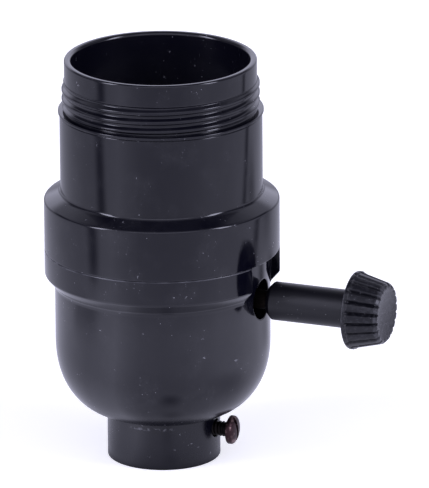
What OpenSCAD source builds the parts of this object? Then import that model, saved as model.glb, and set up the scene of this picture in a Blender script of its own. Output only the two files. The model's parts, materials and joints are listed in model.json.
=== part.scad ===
// Turn-knob lamp socket with an outside shade-ring thread.
// Millimetres. +Z up along the socket's axis, z = 0 on the bottom face of the neck.
// The knob points along +X.

/* [Casing] */
// Height from the bottom of the neck to the rim of the mouth
total_h = 69.85; // [69:0.05:74]
// Height of the seam between the cap and the shell
seam_z = 36.8; // [36.4:0.1:37.6]
// Height of the outer edge of the shoulder
shoulder_z = 45.5; // [44.5:0.1:48]
// Rise of the sloping shoulder from its outer edge to the upper casing
shoulder_rise = 1.3; // [0.6:0.1:2]
// Diameter of the band round the seam
band_d = 39.7; // [39:0.1:42]
// Diameter of the plain upper casing
shell_d = 34.1; // [33.7:0.1:35.4]
// Bore of the mouth
mouth_d = 29.95; // [29.6:0.05:30.6]
// Depth of the mouth's wide bore, below the rim
mouth_h = 10.4; // [8:0.1:12]
// Small bevel on both edges of the seam
seam_bevel = 0.15; // [0.05:0.05:0.3]

/* [Shade-ring thread] */
// Diameter over the thread's crests
thread_d = 33.3; // [33.1:0.05:33.6]
// Distance from crest to crest
thread_pitch = 1.6; // [1.3:0.05:1.8]
// Depth of the grooves between the crests
thread_depth = 0.45; // [0.2:0.05:0.6]
// Number of crests above the bead
thread_crests = 3; // [2:1:4]
// Height of the plain collar above the thread
collar_h = 3.9; // [2.5:0.1:5]
// Diameter of the plain collar
collar_d = 32.4; // [32:0.1:32.8]
// Diameter of the bead below the thread
bead_d = 34.6; // [34.2:0.1:35.2]

/* [Cap] */
// Step from the band in to the domed part of the cap
dome_step = 1.675; // [1.3:0.025:2.2]
// Wall of the cap
cap_wall = 1.8; // [1.5:0.1:2]
// Height at which the dome starts to curve in
dome_start_z = 21.2; // [20:0.1:22]
// Reach of the dome's curve towards the axis
dome_curve_w = 11.7; // [11:0.1:12.2]
// Height of the dome's curve
dome_curve_h = 13.5; // [12.8:0.1:13.8]
// Height of the band below the seam
cap_band_h = 4.3; // [3.6:0.1:5]
// Height of the slope below that band
cap_slope_h = 1.6; // [0.8:0.1:2.2]
// Width of the notch in the band at the knob
notch_w = 12; // [9:0.5:14]
// Diameter of the neck
neck_d = 19.1; // [18.8:0.1:20]

/* [Neck bushing] */
// Bore of the pipe thread
pipe_hole_d = 9.2; // [8.8:0.1:9.6]
// Outside diameter of the bushing
bushing_d = 14; // [13.4:0.1:14.6]

/* [Set screw] */
// Diameter of the set screw
set_screw_d = 2.6; // [2:0.1:3]
// Diameter of its head
set_head_d = 4.9; // [4:0.1:5]
// Thickness of its head
set_head_h = 1.4; // [1:0.1:2]
// Height of its axis
set_screw_z = 5.5; // [5:0.1:5.6]
// Gap between the neck and the head, as the screw stands backed off
set_screw_out = 2.5; // [1:0.1:3]
// Length under the head
set_screw_len = 7.2; // [6.6:0.1:7.4]

/* [Knob] */
// Distance of the knob's axis below the seam
knob_drop = 7.4; // [7.2:0.1:7.8]
// Diameter of the stem
stem_d = 6.5; // [6:0.1:6.8]
// Gap between the cap's wall and the inner end of the stem
stem_gap = 1.35; // [0.6:0.05:2]
// Distance from the socket's axis to the back of the head
head_x = 34.6; // [33:0.1:38]
// Diameter of the lip at the back of the head
lip_d = 13.2; // [12.6:0.1:14]
// Diameter of the head's front
front_d = 10.4; // [9.6:0.1:11]
// Length of the head
head_len = 5.9; // [5:0.1:7]
// Number of ribs round the head
rib_count = 20; // [14:1:24]
// Depth of the grooves between the ribs
groove_depth = 0.5; // [0.2:0.05:0.7]
// Width of the grooves
groove_w = 0.6; // [0.3:0.05:0.8]

/* [Lamp contacts] */
// Largest diameter inside the screw shell
lamp_thread_d = 26.6; // [26.4:0.1:26.8]
// Depth of its thread
lamp_thread_depth = 0.8; // [0.5:0.1:0.9]
// Pitch of the lamp's thread
lamp_pitch = 3.629; // [3.5:0.001:3.7]
// Turns of thread in the screw shell
lamp_turns = 4; // [3:1:4]
// Sheet of the screw shell
lamp_sheet = 0.4; // [0.3:0.05:0.5]
// Rise of the centre contact above the floor
contact_rise = 3; // [2.4:0.1:3.6]
// Width of the centre contact
contact_w = 4.6; // [4:0.1:5]

/* [Base and switch] */
// Thickness of the base's disc
base_t = 5; // [4.6:0.1:5.6]
// Wall of the band outside the base's disc
band_wall = 2.85; // [2.6:0.05:3.1]
// Thickness of the shell's inner floor
floor_t = 2; // [1.6:0.1:2.4]
// Depth of the seat of the base below the seam
seat_drop = 1.8; // [1.4:0.1:2.2]
// Width of the switch's housing
housing_w = 12.8; // [12.6:0.1:12.9]
// Reach of the housing behind the axis
housing_back = 9; // [8.8:0.1:9.2]
// Reach of the housing towards the knob
housing_front = 10; // [9.8:0.1:10.6]
// Diameter of the rotor's drum
drum_d = 6.4; // [6:0.1:6.8]
// Diameter across the corners of its cam
cam_corner_d = 9.2; // [8.8:0.1:9.3]
// Diameter of the switch's shaft
shaft_d = 3.2; // [2.8:0.1:3.4]
// Thickness of the folded brass strips
strip_t = 0.5; // [0.4:0.05:0.55]

/* [Fastenings] */
// Diameter of the case screws
case_screw_d = 2.5; // [2:0.1:2.6]
// Distance of the case screws from the axis
case_screw_y = 9.4; // [9.3:0.05:9.5]
// Diameter of the bosses that take them
boss_d = 5.4; // [5:0.1:5.6]
// Diameter of the terminal screws
terminal_screw_d = 2.8; // [2.4:0.1:3]
// Diameter of their heads
terminal_head_d = 4.6; // [4:0.1:4.8]

/* [Hidden] */
$fn = 96;

// Clearances
turn_gap = 0.05;    // radial, round what turns
seat_gap = 0.1;     // beside what is dropped into its seat
leaf_gap = 0.15;    // between a contact blade and the rotor
hole_gap = 0.3;     // radial, round screws and rivets in moulded holes
stem_gap_r = 0.2;   // radial, round the stem's hole in the cap
over = 1;           // how far a cut runs past what it cuts
eps = 0.01;

// Finishes
phenolic = [0.06, 0.06, 0.065];
base_black = [0.1, 0.09, 0.085];
brass = [0.78, 0.62, 0.3];
aluminium = [0.8, 0.81, 0.83];
steel = [0.62, 0.63, 0.65];
bronze = [0.35, 0.22, 0.2];
fibre = [0.45, 0.36, 0.28];

// Heights of the stack
seat_z = seam_z - seat_drop;
base_top = seat_z + base_t;
floor_z = base_top + floor_t;
knob_z = seam_z - knob_drop;
band_low_z = seam_z - cap_band_h;
slope_low_z = band_low_z - cap_slope_h;
rim_low_z = total_h - mouth_h;

// Radii
band_r = band_d / 2;
dome_r = band_r - dome_step;
inner_r = dome_r - cap_wall;
seat_r = band_r - band_wall;
base_r = seat_r - seat_gap;
neck_r = neck_d / 2;
mouth_r = mouth_d / 2;
lamp_r = lamp_thread_d / 2;
guard_r = lamp_r + lamp_sheet + 0.5;
stem_hole_r = stem_d / 2 + stem_gap_r;
shaft_r = shaft_d / 2;

// Rim, bead and small edges
rim_round = 0.4;
rim_bevel = 0.25;
bead_round = 0.6;
edge = 0.2;

// Neck
neck_edge = 0.4;
neck_top_z = dome_start_z - dome_curve_h;
cap_floor_z = neck_top_z + cap_wall;
bushing_r = bushing_d / 2;
bushing_flange_r = bushing_r + 1;
boss_low_z = cap_floor_z + 0.5;
rib_t = 1.4;
rib_root = 0.4;
rib_low_z = cap_floor_z + 4;
rib_h = seat_z - 2 - rib_low_z;
bushing_flange_t = 0.8;
bushing_top = cap_floor_z + bushing_flange_t;

// Pedestal on the base that fills the hole in the floor
pedestal_r = 6.9;
pedestal_top = floor_z + 0.2;
shell_flange_r = 7.7;
flange_top = floor_z + lamp_sheet;

// Centre contact
contact_t = 0.45;
contact_root = 2.2;
tip_x = -2;
tip_r = 1;

// Switch
housing_low_z = knob_z - cam_corner_d / 2 - 1.8;
roof_z = seat_z + 0.6;
back_wall = 1.6;
front_wall = 2;
side_wall = 1.2;
cavity_back = -housing_back + back_wall;
cavity_front = housing_front - front_wall;
cavity_y = housing_w / 2 - side_wall;
end_gap = 0.3;
rotor_front = cavity_front - end_gap - 0.2;
rotor_back = cavity_back + end_gap + strip_t;
drum_r = drum_d / 2;
blade_y = drum_r + leaf_gap;
blade_low_z = knob_z - 2.9;
blade_inset = 2.4;
blade_len = 4;
strap_w = 3.8;
shoe_w = 4.4;
shoe_len = rotor_front - rotor_back - 1.6;
cam_w = drum_d + 0.6;
cam_len = 3;
spring_t = 0.3;
spring_w = 2.6;
spring_len = 9.2;
shaft_start = -housing_back + 0.6;

// Centre rivet
rivet_r = 1.1;
rivet_head_r = 2;
rivet_head_h = 0.6;
rivet_x = 4.6;
cam_x = (cavity_back + blade_inset + blade_len + rivet_x - strap_w / 2 - cam_len) / 2;

// Terminals
terminal_y = 4.3;
terminal_w = 4.2;
terminal_z = knob_z - 0.6;
terminal_low_z = terminal_z - 3.4;
terminal_x = -housing_back - strip_t;
line_tab_z = seat_z - strip_t - turn_gap;
screw_lift = 0.8;
terminal_head_h = 1.5;
terminal_bite = 1.1;
slot_gap = 0.15;

// Screws
driver_slot_w = 0.7;
point_bevel = 0.3;

// Shell rivets
shell_rivet_x = 7.9;
shell_rivet_y = 4.8;
shell_rivet_r = 0.8;
shell_rivet_head_r = 1.4;
shell_rivet_head_h = 0.5;

// Fibre cover
cover_t = 0.8;
cover_rivet_r = 0.55;
cover_rivet_head_r = 1.1;
cover_rivet_head_h = 0.5;
cover_rivet_len = 3;
cover_rivet_xs = [-housing_back + back_wall / 2 + 0.1, housing_front - front_wall / 2];

// Case screws
case_head_r = 2.2;
case_head_h = 1.5;
insert_len = 8;
insert_r = case_screw_d / 2 + 0.6;
case_screw_end = seat_z - insert_len + 0.6;
case_hole_r = case_screw_d / 2 + hole_gap;

// Washer and clip on the shaft
washer_x = housing_front + 0.1;
washer_t = 0.5;
washer_rim = 1.7;
clip_x = washer_x + washer_t + turn_gap;
clip_t = 0.6;
clip_groove = 0.3;
clip_rim = 1.3;

// Knob
stem_x = dome_r + stem_gap;
stem_bevel = 0.8;
insert_start = stem_x + 1.5;
knob_insert_len = 12;
knob_insert_r = shaft_r + 0.7;
shaft_end = insert_start + knob_insert_len - 2;
lip_t = 0.9;
lip_step = 0.25;
face_bevel = 0.3;

// Points of an arc, from angle a to angle b
function arc(cx, cy, r, a, b, n = 6) =
    [for (i = [0 : n]) let (t = a + (b - a) * i / n) [cx + r * cos(t), cy + r * sin(t)]];

// The dome's curve, flatter than an ellipse, at an inset from the outside
dome_power = 0.87;
function dome_curve(inset, n = 20) =
    [for (i = [0 : n]) let (t = 90 * i / n)
        [dome_r - dome_curve_w + (dome_curve_w - inset) * pow(cos(t), dome_power),
         dome_start_z - (dome_curve_h - inset) * pow(sin(t), dome_power)]];

// One crest of the shade-ring thread, from its top to its bottom
function crest(top) =
    let (r = thread_d / 2, root = r - thread_depth, p = thread_pitch)
    [[root, top], [r, top - 0.3 * p], [r, top - 0.5 * p], [root, top - 0.8 * p]];

thread_top = total_h - collar_h;
thread_low = thread_top - thread_crests * thread_pitch;
bead_h = 1.5;
bead_low = thread_low - bead_h;

module along_x(x = 0, y = 0, z = 0) {
    translate([x, y, z]) rotate([0, 90, 0]) children();
}

// A slot cut across a screw's head
module driver_slot(head_r, depth) {
    translate([-head_r - over, -driver_slot_w / 2, -depth])
        cube([2 * (head_r + over), driver_slot_w, depth + over]);
}

// A slotted round-head screw that points down, its head standing on z = 0
module round_head_screw(shank_r, head_r, head_h, len) {
    difference() {
        rotate_extrude() polygon(concat(
            [[0, -len], [shank_r - point_bevel, -len], [shank_r, -len + point_bevel], [shank_r, 0],
             [head_r, 0]],
            [for (t = [0 : 15 : 90]) [head_r * cos(t), head_h * (0.35 + 0.65 * sin(t))]]));
        translate([0, 0, head_h]) driver_slot(head_r, head_h * 0.5);
    }
}

// A headed pin between two heights, with a second head clinched at its lower end
module rivet(r, head_r, head_h, low, high) {
    translate([0, 0, low]) cylinder(r = r, h = high - low);
    translate([0, 0, high]) cylinder(r1 = head_r, r2 = head_r * 0.7, h = head_h);
    translate([0, 0, low - head_h]) cylinder(r1 = head_r * 0.6, r2 = head_r * 0.8, h = head_h);
}

module at_case_screws() {
    for (side = [-1, 1]) translate([0, side * case_screw_y, 0]) children();
}

module at_shell_rivets() {
    for (turn = [0, 180]) rotate(turn) translate([-shell_rivet_x, shell_rivet_y, 0]) children();
}

module outer_shell() {
    color(phenolic)
    difference() {
        rotate_extrude() polygon(concat(
            [[seat_r, seam_z], [band_r - seam_bevel, seam_z], [band_r, seam_z + seam_bevel],
             [band_r, shoulder_z - edge], [band_r - edge, shoulder_z],
             [shell_d / 2, shoulder_z + shoulder_rise],
             [shell_d / 2, bead_low - edge]],
            arc(bead_d / 2 - bead_round, bead_low + bead_h / 2, bead_round, -60, 60),
            [for (i = [thread_crests - 1 : -1 : 0], p = [3 : -1 : 0])
                crest(thread_top - i * thread_pitch)[p]],
            [[collar_d / 2, thread_top]],
            arc(collar_d / 2 - rim_round, total_h - rim_round, rim_round, 0, 90),
            [[mouth_r + rim_bevel, total_h], [mouth_r, total_h - rim_bevel],
             [mouth_r, rim_low_z], [guard_r, rim_low_z - 2 * edge],
             [guard_r, floor_z], [pedestal_r + seat_gap, floor_z],
             [pedestal_r + seat_gap, base_top], [seat_r, base_top]]));
        at_case_screws() translate([0, 0, base_top - over])
            cylinder(r = case_hole_r, h = floor_t + 2 * over);
        at_shell_rivets() translate([0, 0, base_top - over])
            cylinder(r = shell_rivet_r + turn_gap, h = floor_t + 2 * over);
        neutral_slot(base_top - over, floor_t + 2 * over);
    }
}

// Room for the neutral strip where it rises through the base and the floor
module neutral_slot(low, height) {
    translate([terminal_x - slot_gap, terminal_y - terminal_w / 2 - slot_gap, low])
        cube([strip_t + 2 * slot_gap, terminal_w + 2 * slot_gap, height]);
}

module cap() {
    color(phenolic)
    difference() {
        union() {
            rotate_extrude() polygon(concat(
                [[bushing_r + turn_gap, 0], [neck_r - neck_edge, 0]],
                arc(neck_r - neck_edge, neck_edge, neck_edge, -60, 0, 3),
                [[neck_r, neck_top_z + edge]],
                [for (i = [20 : -1 : 0]) if (dome_curve(0)[i][0] > neck_r + edge) dome_curve(0)[i]],
                [[dome_r, slope_low_z], [band_r - edge, band_low_z - edge / 2],
                 [band_r, band_low_z + edge],
                 [band_r, seam_z - seam_bevel], [band_r - seam_bevel, seam_z],
                 [seat_r, seam_z], [seat_r, seat_z], [inner_r, seat_z]],
                [for (p = dome_curve(cap_wall)) if (p[0] > bushing_flange_r + hole_gap) p],
                [[bushing_flange_r + seat_gap, cap_floor_z + hole_gap],
                 [bushing_flange_r + seat_gap, cap_floor_z], [bushing_r + turn_gap, cap_floor_z]]));
            at_case_screws() translate([0, 0, boss_low_z]) cylinder(d = boss_d, h = seat_z - boss_low_z);
            // Ribs from the bosses to the wall
            intersection() {
                translate([-rib_t / 2, -band_r, rib_low_z]) cube([rib_t, 2 * band_r, rib_h]);
                difference() {
                    cylinder(r = inner_r + rib_root, h = seat_z);
                    cylinder(r = case_screw_y, h = seat_z + over);
                }
            }
        }
        // Notch in the band, its floor flush with the dome's wall
        difference() {
            translate([0, -notch_w / 2, slope_low_z - over])
                cube([band_r + over, notch_w, seam_z - slope_low_z + 2 * over]);
            cylinder(r = dome_r, h = total_h);
        }
        along_x(0, 0, knob_z) cylinder(r = stem_hole_r, h = band_r + over);
        // Seat of the bushing's flange, cut into the feet of the bosses
        translate([0, 0, cap_floor_z])
            cylinder(r = bushing_flange_r + seat_gap, h = bushing_flange_t + seat_gap);
        along_x(bushing_r - over, 0, set_screw_z) cylinder(r = set_screw_d / 2 + hole_gap, h = neck_r);
        at_case_screws() translate([0, 0, seat_z - insert_len])
            cylinder(r = insert_r + turn_gap, h = insert_len + over);
    }
}

module neck_bushing() {
    color(brass)
    difference() {
        union() {
            cylinder(r = bushing_r, h = bushing_top);
            translate([0, 0, cap_floor_z]) cylinder(r = bushing_flange_r, h = bushing_flange_t);
        }
        translate([0, 0, -over]) cylinder(d = pipe_hole_d, h = bushing_top + 2 * over);
        along_x(0, 0, set_screw_z) cylinder(r = set_screw_d / 2 + turn_gap, h = neck_r);
    }
}

module set_screw() {
    color(bronze)
    translate([neck_r + set_screw_out, 0, set_screw_z]) rotate([0, 90, 0])
        round_head_screw(set_screw_d / 2, set_head_d / 2, set_head_h, set_screw_len);
}

// Rolled sheet: a flat flange, a short straight wall and the lamp's thread
module screw_shell() {
    steps = 12;
    thread_low_z = flange_top + lamp_pitch / 4;
    top = thread_low_z + lamp_turns * lamp_pitch;
    outside = concat(
        [[lamp_r + lamp_sheet, floor_z]],
        [for (i = [0 : lamp_turns * steps])
            [lamp_r + lamp_sheet - lamp_thread_depth * (1 - cos(360 * i / steps)) / 2,
             thread_low_z + lamp_pitch * i / steps]],
        [[lamp_r + lamp_sheet, top + lamp_pitch / 3]]);
    inside = [for (i = [len(outside) - 1 : -1 : 1]) [outside[i][0] - lamp_sheet, outside[i][1]]];
    color(aluminium)
    difference() {
        rotate_extrude() polygon(concat(outside, inside,
            [[lamp_r, flange_top], [shell_flange_r, flange_top], [shell_flange_r, floor_z]]));
        at_case_screws() translate([0, 0, floor_z - over])
            cylinder(r = case_head_r + hole_gap, h = lamp_sheet + 2 * over);
        at_shell_rivets() translate([0, 0, floor_z - over])
            cylinder(r = shell_rivet_r + turn_gap, h = lamp_sheet + 2 * over);
        neutral_slot(floor_z - over, lamp_sheet + 2 * over);
    }
}

module shell_rivets() {
    color(brass)
    for (turn = [0, 180]) rotate(turn) translate([-shell_rivet_x, shell_rivet_y, 0])
        rivet(shell_rivet_r, shell_rivet_head_r, shell_rivet_head_h, base_top - 2 * turn_gap,
              flange_top + (turn == 0 ? strip_t : 0));
}

// Leaf spring: a flat root under the rivet, then a rise to a rounded tip
module centre_contact() {
    t = contact_t;
    tip_z = floor_z + contact_rise;
    path = [[rivet_x + contact_root, pedestal_top], [rivet_x - contact_root, pedestal_top],
            [tip_x + tip_r, tip_z - tip_r / 2], [tip_x, tip_z - tip_r / 10],
            [tip_x - 0.8 * tip_r, tip_z - 0.15 * tip_r], [tip_x - 1.6 * tip_r, tip_z - 0.6 * tip_r]];
    color(brass)
    difference() {
        translate([0, contact_w / 2, 0]) rotate([90, 0, 0]) linear_extrude(contact_w)
            polygon(concat(path, [for (i = [len(path) - 1 : -1 : 0]) path[i] + [0, t]]));
        translate([rivet_x, 0, floor_z - over])
            cylinder(r = rivet_r + turn_gap, h = contact_t + 2 * over);
    }
}

module centre_rivet() {
    color(brass)
    translate([rivet_x, 0, 0])
        rivet(rivet_r, rivet_head_r, rivet_head_h, roof_z - strip_t, pedestal_top + contact_t);
}

module switch_base() {
    color(base_black)
    difference() {
        union() {
            translate([0, 0, seat_z]) cylinder(r = base_r, h = base_t);
            translate([0, 0, base_top]) cylinder(r = pedestal_r, h = pedestal_top - base_top);
            translate([-housing_back, -housing_w / 2, housing_low_z])
                cube([housing_back + housing_front, housing_w, seat_z - housing_low_z + eps]);
        }
        // Cavity of the switch, open below
        translate([cavity_back, -cavity_y, housing_low_z - over])
            cube([cavity_front - cavity_back, 2 * cavity_y, roof_z - housing_low_z + over]);
        // Bearings of the shaft: blind behind, open in front
        along_x(shaft_start - end_gap / 3, 0, knob_z) cylinder(r = shaft_r + turn_gap, h = back_wall);
        along_x(cavity_front - over, 0, knob_z)
            cylinder(r = shaft_r + turn_gap, h = front_wall + 2 * over);
        at_case_screws() translate([0, 0, seat_z - over])
            cylinder(r = case_hole_r, h = base_t + 2 * over);
        translate([rivet_x, 0, seat_z - over])
            cylinder(r = rivet_r + turn_gap, h = pedestal_top - seat_z + 2 * over);
        at_shell_rivets() translate([0, 0, base_top - shell_rivet_head_h - hole_gap])
            cylinder(r = shell_rivet_head_r + hole_gap, h = over);
        neutral_slot(seat_z - over, base_t + 2 * over);
        // Window for the line strip in the back wall
        translate([-housing_back - over, -terminal_y - terminal_w / 2 - slot_gap, line_tab_z - slot_gap])
            cube([back_wall + over + slot_gap, terminal_w + 2 * slot_gap, strip_t + 2 * slot_gap]);
        for (side = [-1, 1]) along_x(-housing_back - over, side * terminal_y, terminal_z)
            cylinder(r = terminal_screw_d / 2 + turn_gap, h = over + terminal_bite + seat_gap);
        for (x = cover_rivet_xs) translate([x, 0, housing_low_z - over])
            cylinder(r = cover_rivet_r + turn_gap, h = over + cover_rivet_len + seat_gap);
    }
}

// Strip under the roof, folded down beside the rotor
module centre_strap() {
    w = strap_w;
    color(brass)
    difference() {
        union() {
            translate([rivet_x - w / 2, -blade_y - strip_t, roof_z - strip_t])
                cube([w, blade_y + strip_t + w / 2, strip_t]);
            translate([rivet_x - w / 2, -blade_y - strip_t, blade_low_z])
                cube([w, strip_t, roof_z - blade_low_z - eps]);
        }
        translate([rivet_x, 0, roof_z - strip_t - over])
            cylinder(r = rivet_r + turn_gap, h = strip_t + 2 * over);
    }
}

// Terminal plate behind the housing, a tab through its wall and a blade beside the rotor
module line_terminal() {
    y0 = -terminal_y - terminal_w / 2;
    blade_x = cavity_back + blade_inset;
    color(brass)
    difference() {
        union() {
            translate([terminal_x, y0, terminal_low_z])
                cube([strip_t, terminal_w, line_tab_z + strip_t - terminal_low_z]);
            translate([terminal_x, -cavity_y + slot_gap, line_tab_z])
                cube([blade_x + blade_len - terminal_x, cavity_y - slot_gap - blade_y, strip_t]);
            translate([blade_x, -blade_y - strip_t, blade_low_z])
                cube([blade_len, strip_t, line_tab_z + strip_t - blade_low_z]);
        }
        along_x(terminal_x - over, -terminal_y, terminal_z)
            cylinder(r = terminal_screw_d / 2 + turn_gap, h = strip_t + 2 * over);
    }
}

// Terminal plate behind the housing that rises to a tab on the screw shell's flange
module neutral_terminal() {
    y0 = terminal_y - terminal_w / 2;
    tab_end = -shell_rivet_x + shell_rivet_head_r - seat_gap;
    color(aluminium)
    difference() {
        union() {
            translate([terminal_x, y0, terminal_low_z])
                cube([strip_t, terminal_w, flange_top + strip_t - terminal_low_z]);
            translate([terminal_x, y0, flange_top])
                cube([tab_end - terminal_x, terminal_w, strip_t]);
        }
        along_x(terminal_x - over, terminal_y, terminal_z)
            cylinder(r = terminal_screw_d / 2 + turn_gap, h = strip_t + 2 * over);
        translate([-shell_rivet_x, shell_rivet_y, flange_top - over])
            cylinder(r = shell_rivet_r + turn_gap, h = strip_t + 2 * over);
    }
}

// A terminal screw, backed off for its wire
module terminal_screw(side) {
    lift = strip_t + screw_lift;
    translate([-housing_back - lift, side * terminal_y, terminal_z]) rotate([0, -90, 0])
        round_head_screw(terminal_screw_d / 2, terminal_head_d / 2, terminal_head_h,
                         lift + terminal_bite);
}

module line_screw() {
    color(brass) terminal_screw(-1);
}

module neutral_screw() {
    color(aluminium) terminal_screw(1);
}

module switch_shaft() {
    color(brass)
    difference() {
        along_x(shaft_start, 0, knob_z) cylinder(r = shaft_r, h = shaft_end - shaft_start);
        along_x(clip_x - turn_gap, 0, knob_z) difference() {
            cylinder(r = shaft_r + over, h = clip_t + 2 * turn_gap);
            translate([0, 0, -over]) cylinder(r = shaft_r - clip_groove, h = clip_t + 3 * over);
        }
    }
}

// Round drum, drilled for the shaft, with a square cam between the two blades
module rotor() {
    color(fibre)
    difference() {
        union() {
            along_x(rotor_back, 0, knob_z) cylinder(r = drum_r, h = rotor_front - rotor_back);
            intersection() {
                translate([cam_x, -cam_w / 2, knob_z - cam_w / 2]) cube([cam_len, cam_w, cam_w]);
                along_x(cam_x - over, 0, knob_z) cylinder(d = cam_corner_d, h = cam_len + 2 * over);
            }
        }
        along_x(rotor_back - over, 0, knob_z)
            cylinder(r = shaft_r + turn_gap, h = rotor_front - rotor_back + 2 * over);
        // Seats of the contact's shoes, which pass under the cam
        intersection() {
            translate([rotor_back - over, -shoe_w / 2 - turn_gap, knob_z - drum_d])
                cube([over + shoe_len + turn_gap, shoe_w + 2 * turn_gap, 2 * drum_d]);
            along_x(rotor_back - over, 0, knob_z) difference() {
                cylinder(r = drum_r + turn_gap, h = shoe_len + 2 * over);
                translate([0, 0, -over])
                    cylinder(r = drum_r - strip_t - turn_gap, h = shoe_len + 4 * over);
            }
        }
    }
}

// Two curved shoes on opposite sides of the drum, joined by a bar behind it
module rotor_contact() {
    back = rotor_back - strip_t;
    color(brass)
    difference() {
        intersection() {
            translate([back, -shoe_w / 2, knob_z - drum_d]) cube([shoe_len + strip_t, shoe_w, 2 * drum_d]);
            along_x(back - over, 0, knob_z) cylinder(r = drum_r, h = shoe_len + strip_t + 2 * over);
        }
        along_x(rotor_back - eps, 0, knob_z) cylinder(r = drum_r - strip_t, h = shoe_len + over);
        along_x(back - over, 0, knob_z) cylinder(r = shaft_r + turn_gap, h = strip_t + 2 * over);
    }
}

// Bowed steel leaf under the roof, pressed against the cam
module detent_spring() {
    half = spring_len / 2;
    low = knob_z + cam_w / 2 + leaf_gap;
    high = roof_z - seat_gap - spring_t;
    path = [[-half, high], [-half * 0.55, low], [half * 0.55, low], [half, high]];
    color(steel)
    translate([cam_x + (cam_len - spring_w) / 2, 0, 0]) rotate([90, 0, 90]) linear_extrude(spring_w)
        polygon(concat(path, [for (i = [3 : -1 : 0]) path[i] + [0, spring_t]]));
}

module shaft_washer() {
    color(steel)
    along_x(washer_x, 0, knob_z) difference() {
        cylinder(r = shaft_r + washer_rim, h = washer_t);
        translate([0, 0, -over]) cylinder(r = shaft_r + turn_gap, h = washer_t + 2 * over);
    }
}

// Push-on clip: a ring with a mouth, sprung into the shaft's groove
module shaft_clip() {
    mouth = shaft_d - 2 * clip_groove;
    color(steel)
    along_x(clip_x, 0, knob_z) difference() {
        cylinder(r = shaft_r + clip_rim, h = clip_t);
        translate([0, 0, -over]) cylinder(r = shaft_r - clip_groove + turn_gap, h = clip_t + 2 * over);
        translate([0, -mouth / 2, -over])
            cube([shaft_r + clip_rim + over, mouth, clip_t + 2 * over]);
    }
}

module knob() {
    front_x = head_x + head_len;
    slope = atan((lip_d - front_d) / 2 / (head_len - lip_t));
    body_r = lip_d / 2 - lip_step;
    front_r = front_d / 2;
    color(phenolic)
    difference() {
        along_x(0, 0, knob_z) rotate_extrude() polygon([
            [0, stem_x], [stem_d / 2 - stem_bevel, stem_x], [stem_d / 2, stem_x + stem_bevel],
            [stem_d / 2, head_x], [lip_d / 2 - edge, head_x], [lip_d / 2, head_x + edge],
            [lip_d / 2, head_x + lip_t - edge], [body_r, head_x + lip_t],
            [front_r, front_x - face_bevel], [front_r - face_bevel, front_x], [0, front_x]]);
        along_x(stem_x - over, 0, knob_z)
            cylinder(r = knob_insert_r + turn_gap, h = insert_start + knob_insert_len - stem_x + over);
        // Grooves between the ribs, along the taper
        for (i = [0 : rib_count - 1]) translate([head_x + lip_t, 0, knob_z])
            rotate([360 * (i + 0.3) / rib_count, 0, 0]) translate([0, 0, body_r])
                rotate([0, 90 + slope, 0]) linear_extrude(head_len + over)
                    polygon([[groove_depth, 0], [-groove_depth, groove_w], [-groove_depth, -groove_w]]);
    }
}

module knob_insert() {
    color(brass)
    along_x(insert_start, 0, knob_z) difference() {
        cylinder(r = knob_insert_r, h = knob_insert_len);
        translate([0, 0, -over]) cylinder(r = shaft_r + turn_gap, h = knob_insert_len + 2 * over);
    }
}

module switch_cover() {
    color(fibre)
    translate([0, 0, housing_low_z - cover_t]) difference() {
        translate([-housing_back, -housing_w / 2, 0])
            cube([housing_back + housing_front, housing_w, cover_t]);
        for (x = cover_rivet_xs) translate([x, 0, -over])
            cylinder(r = cover_rivet_r + turn_gap, h = cover_t + 2 * over);
    }
}

module cover_rivets() {
    color(brass)
    for (x = cover_rivet_xs) translate([x, 0, housing_low_z - cover_t]) {
        cylinder(r = cover_rivet_r, h = cover_t + cover_rivet_len);
        translate([0, 0, -cover_rivet_head_h])
            cylinder(r1 = cover_rivet_head_r * 0.7, r2 = cover_rivet_head_r, h = cover_rivet_head_h);
    }
}

module case_screws() {
    color(steel)
    at_case_screws() translate([0, 0, floor_z])
        round_head_screw(case_screw_d / 2, case_head_r, case_head_h, floor_z - case_screw_end);
}

module case_inserts() {
    color(brass)
    at_case_screws() translate([0, 0, seat_z - insert_len]) difference() {
        cylinder(r = insert_r, h = insert_len - eps);
        translate([0, 0, -over]) cylinder(r = case_screw_d / 2 + turn_gap, h = insert_len + 2 * over);
    }
}

outer_shell();
cap();
neck_bushing();
set_screw();
screw_shell();
shell_rivets();
centre_contact();
centre_rivet();
switch_base();
centre_strap();
line_terminal();
line_screw();
neutral_terminal();
neutral_screw();
switch_shaft();
rotor();
rotor_contact();
detent_spring();
shaft_washer();
shaft_clip();
knob();
knob_insert();
switch_cover();
cover_rivets();
case_screws();
case_inserts();
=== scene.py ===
"""A turn-knob lamp socket, dressed and lit as in its photograph.

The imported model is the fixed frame, and every piece below stands where that model says. The
classes hold their sizes in millimetres, and a mesh turns to metres when it is made.
"""
# ruff: noqa: E402

import json
import logging
import math
from collections.abc import Callable, Mapping, Sequence
from dataclasses import dataclass
from enum import Enum
from itertools import product
from typing import Union

import bpy
import numpy as np
from mathutils import Matrix, Vector


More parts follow.
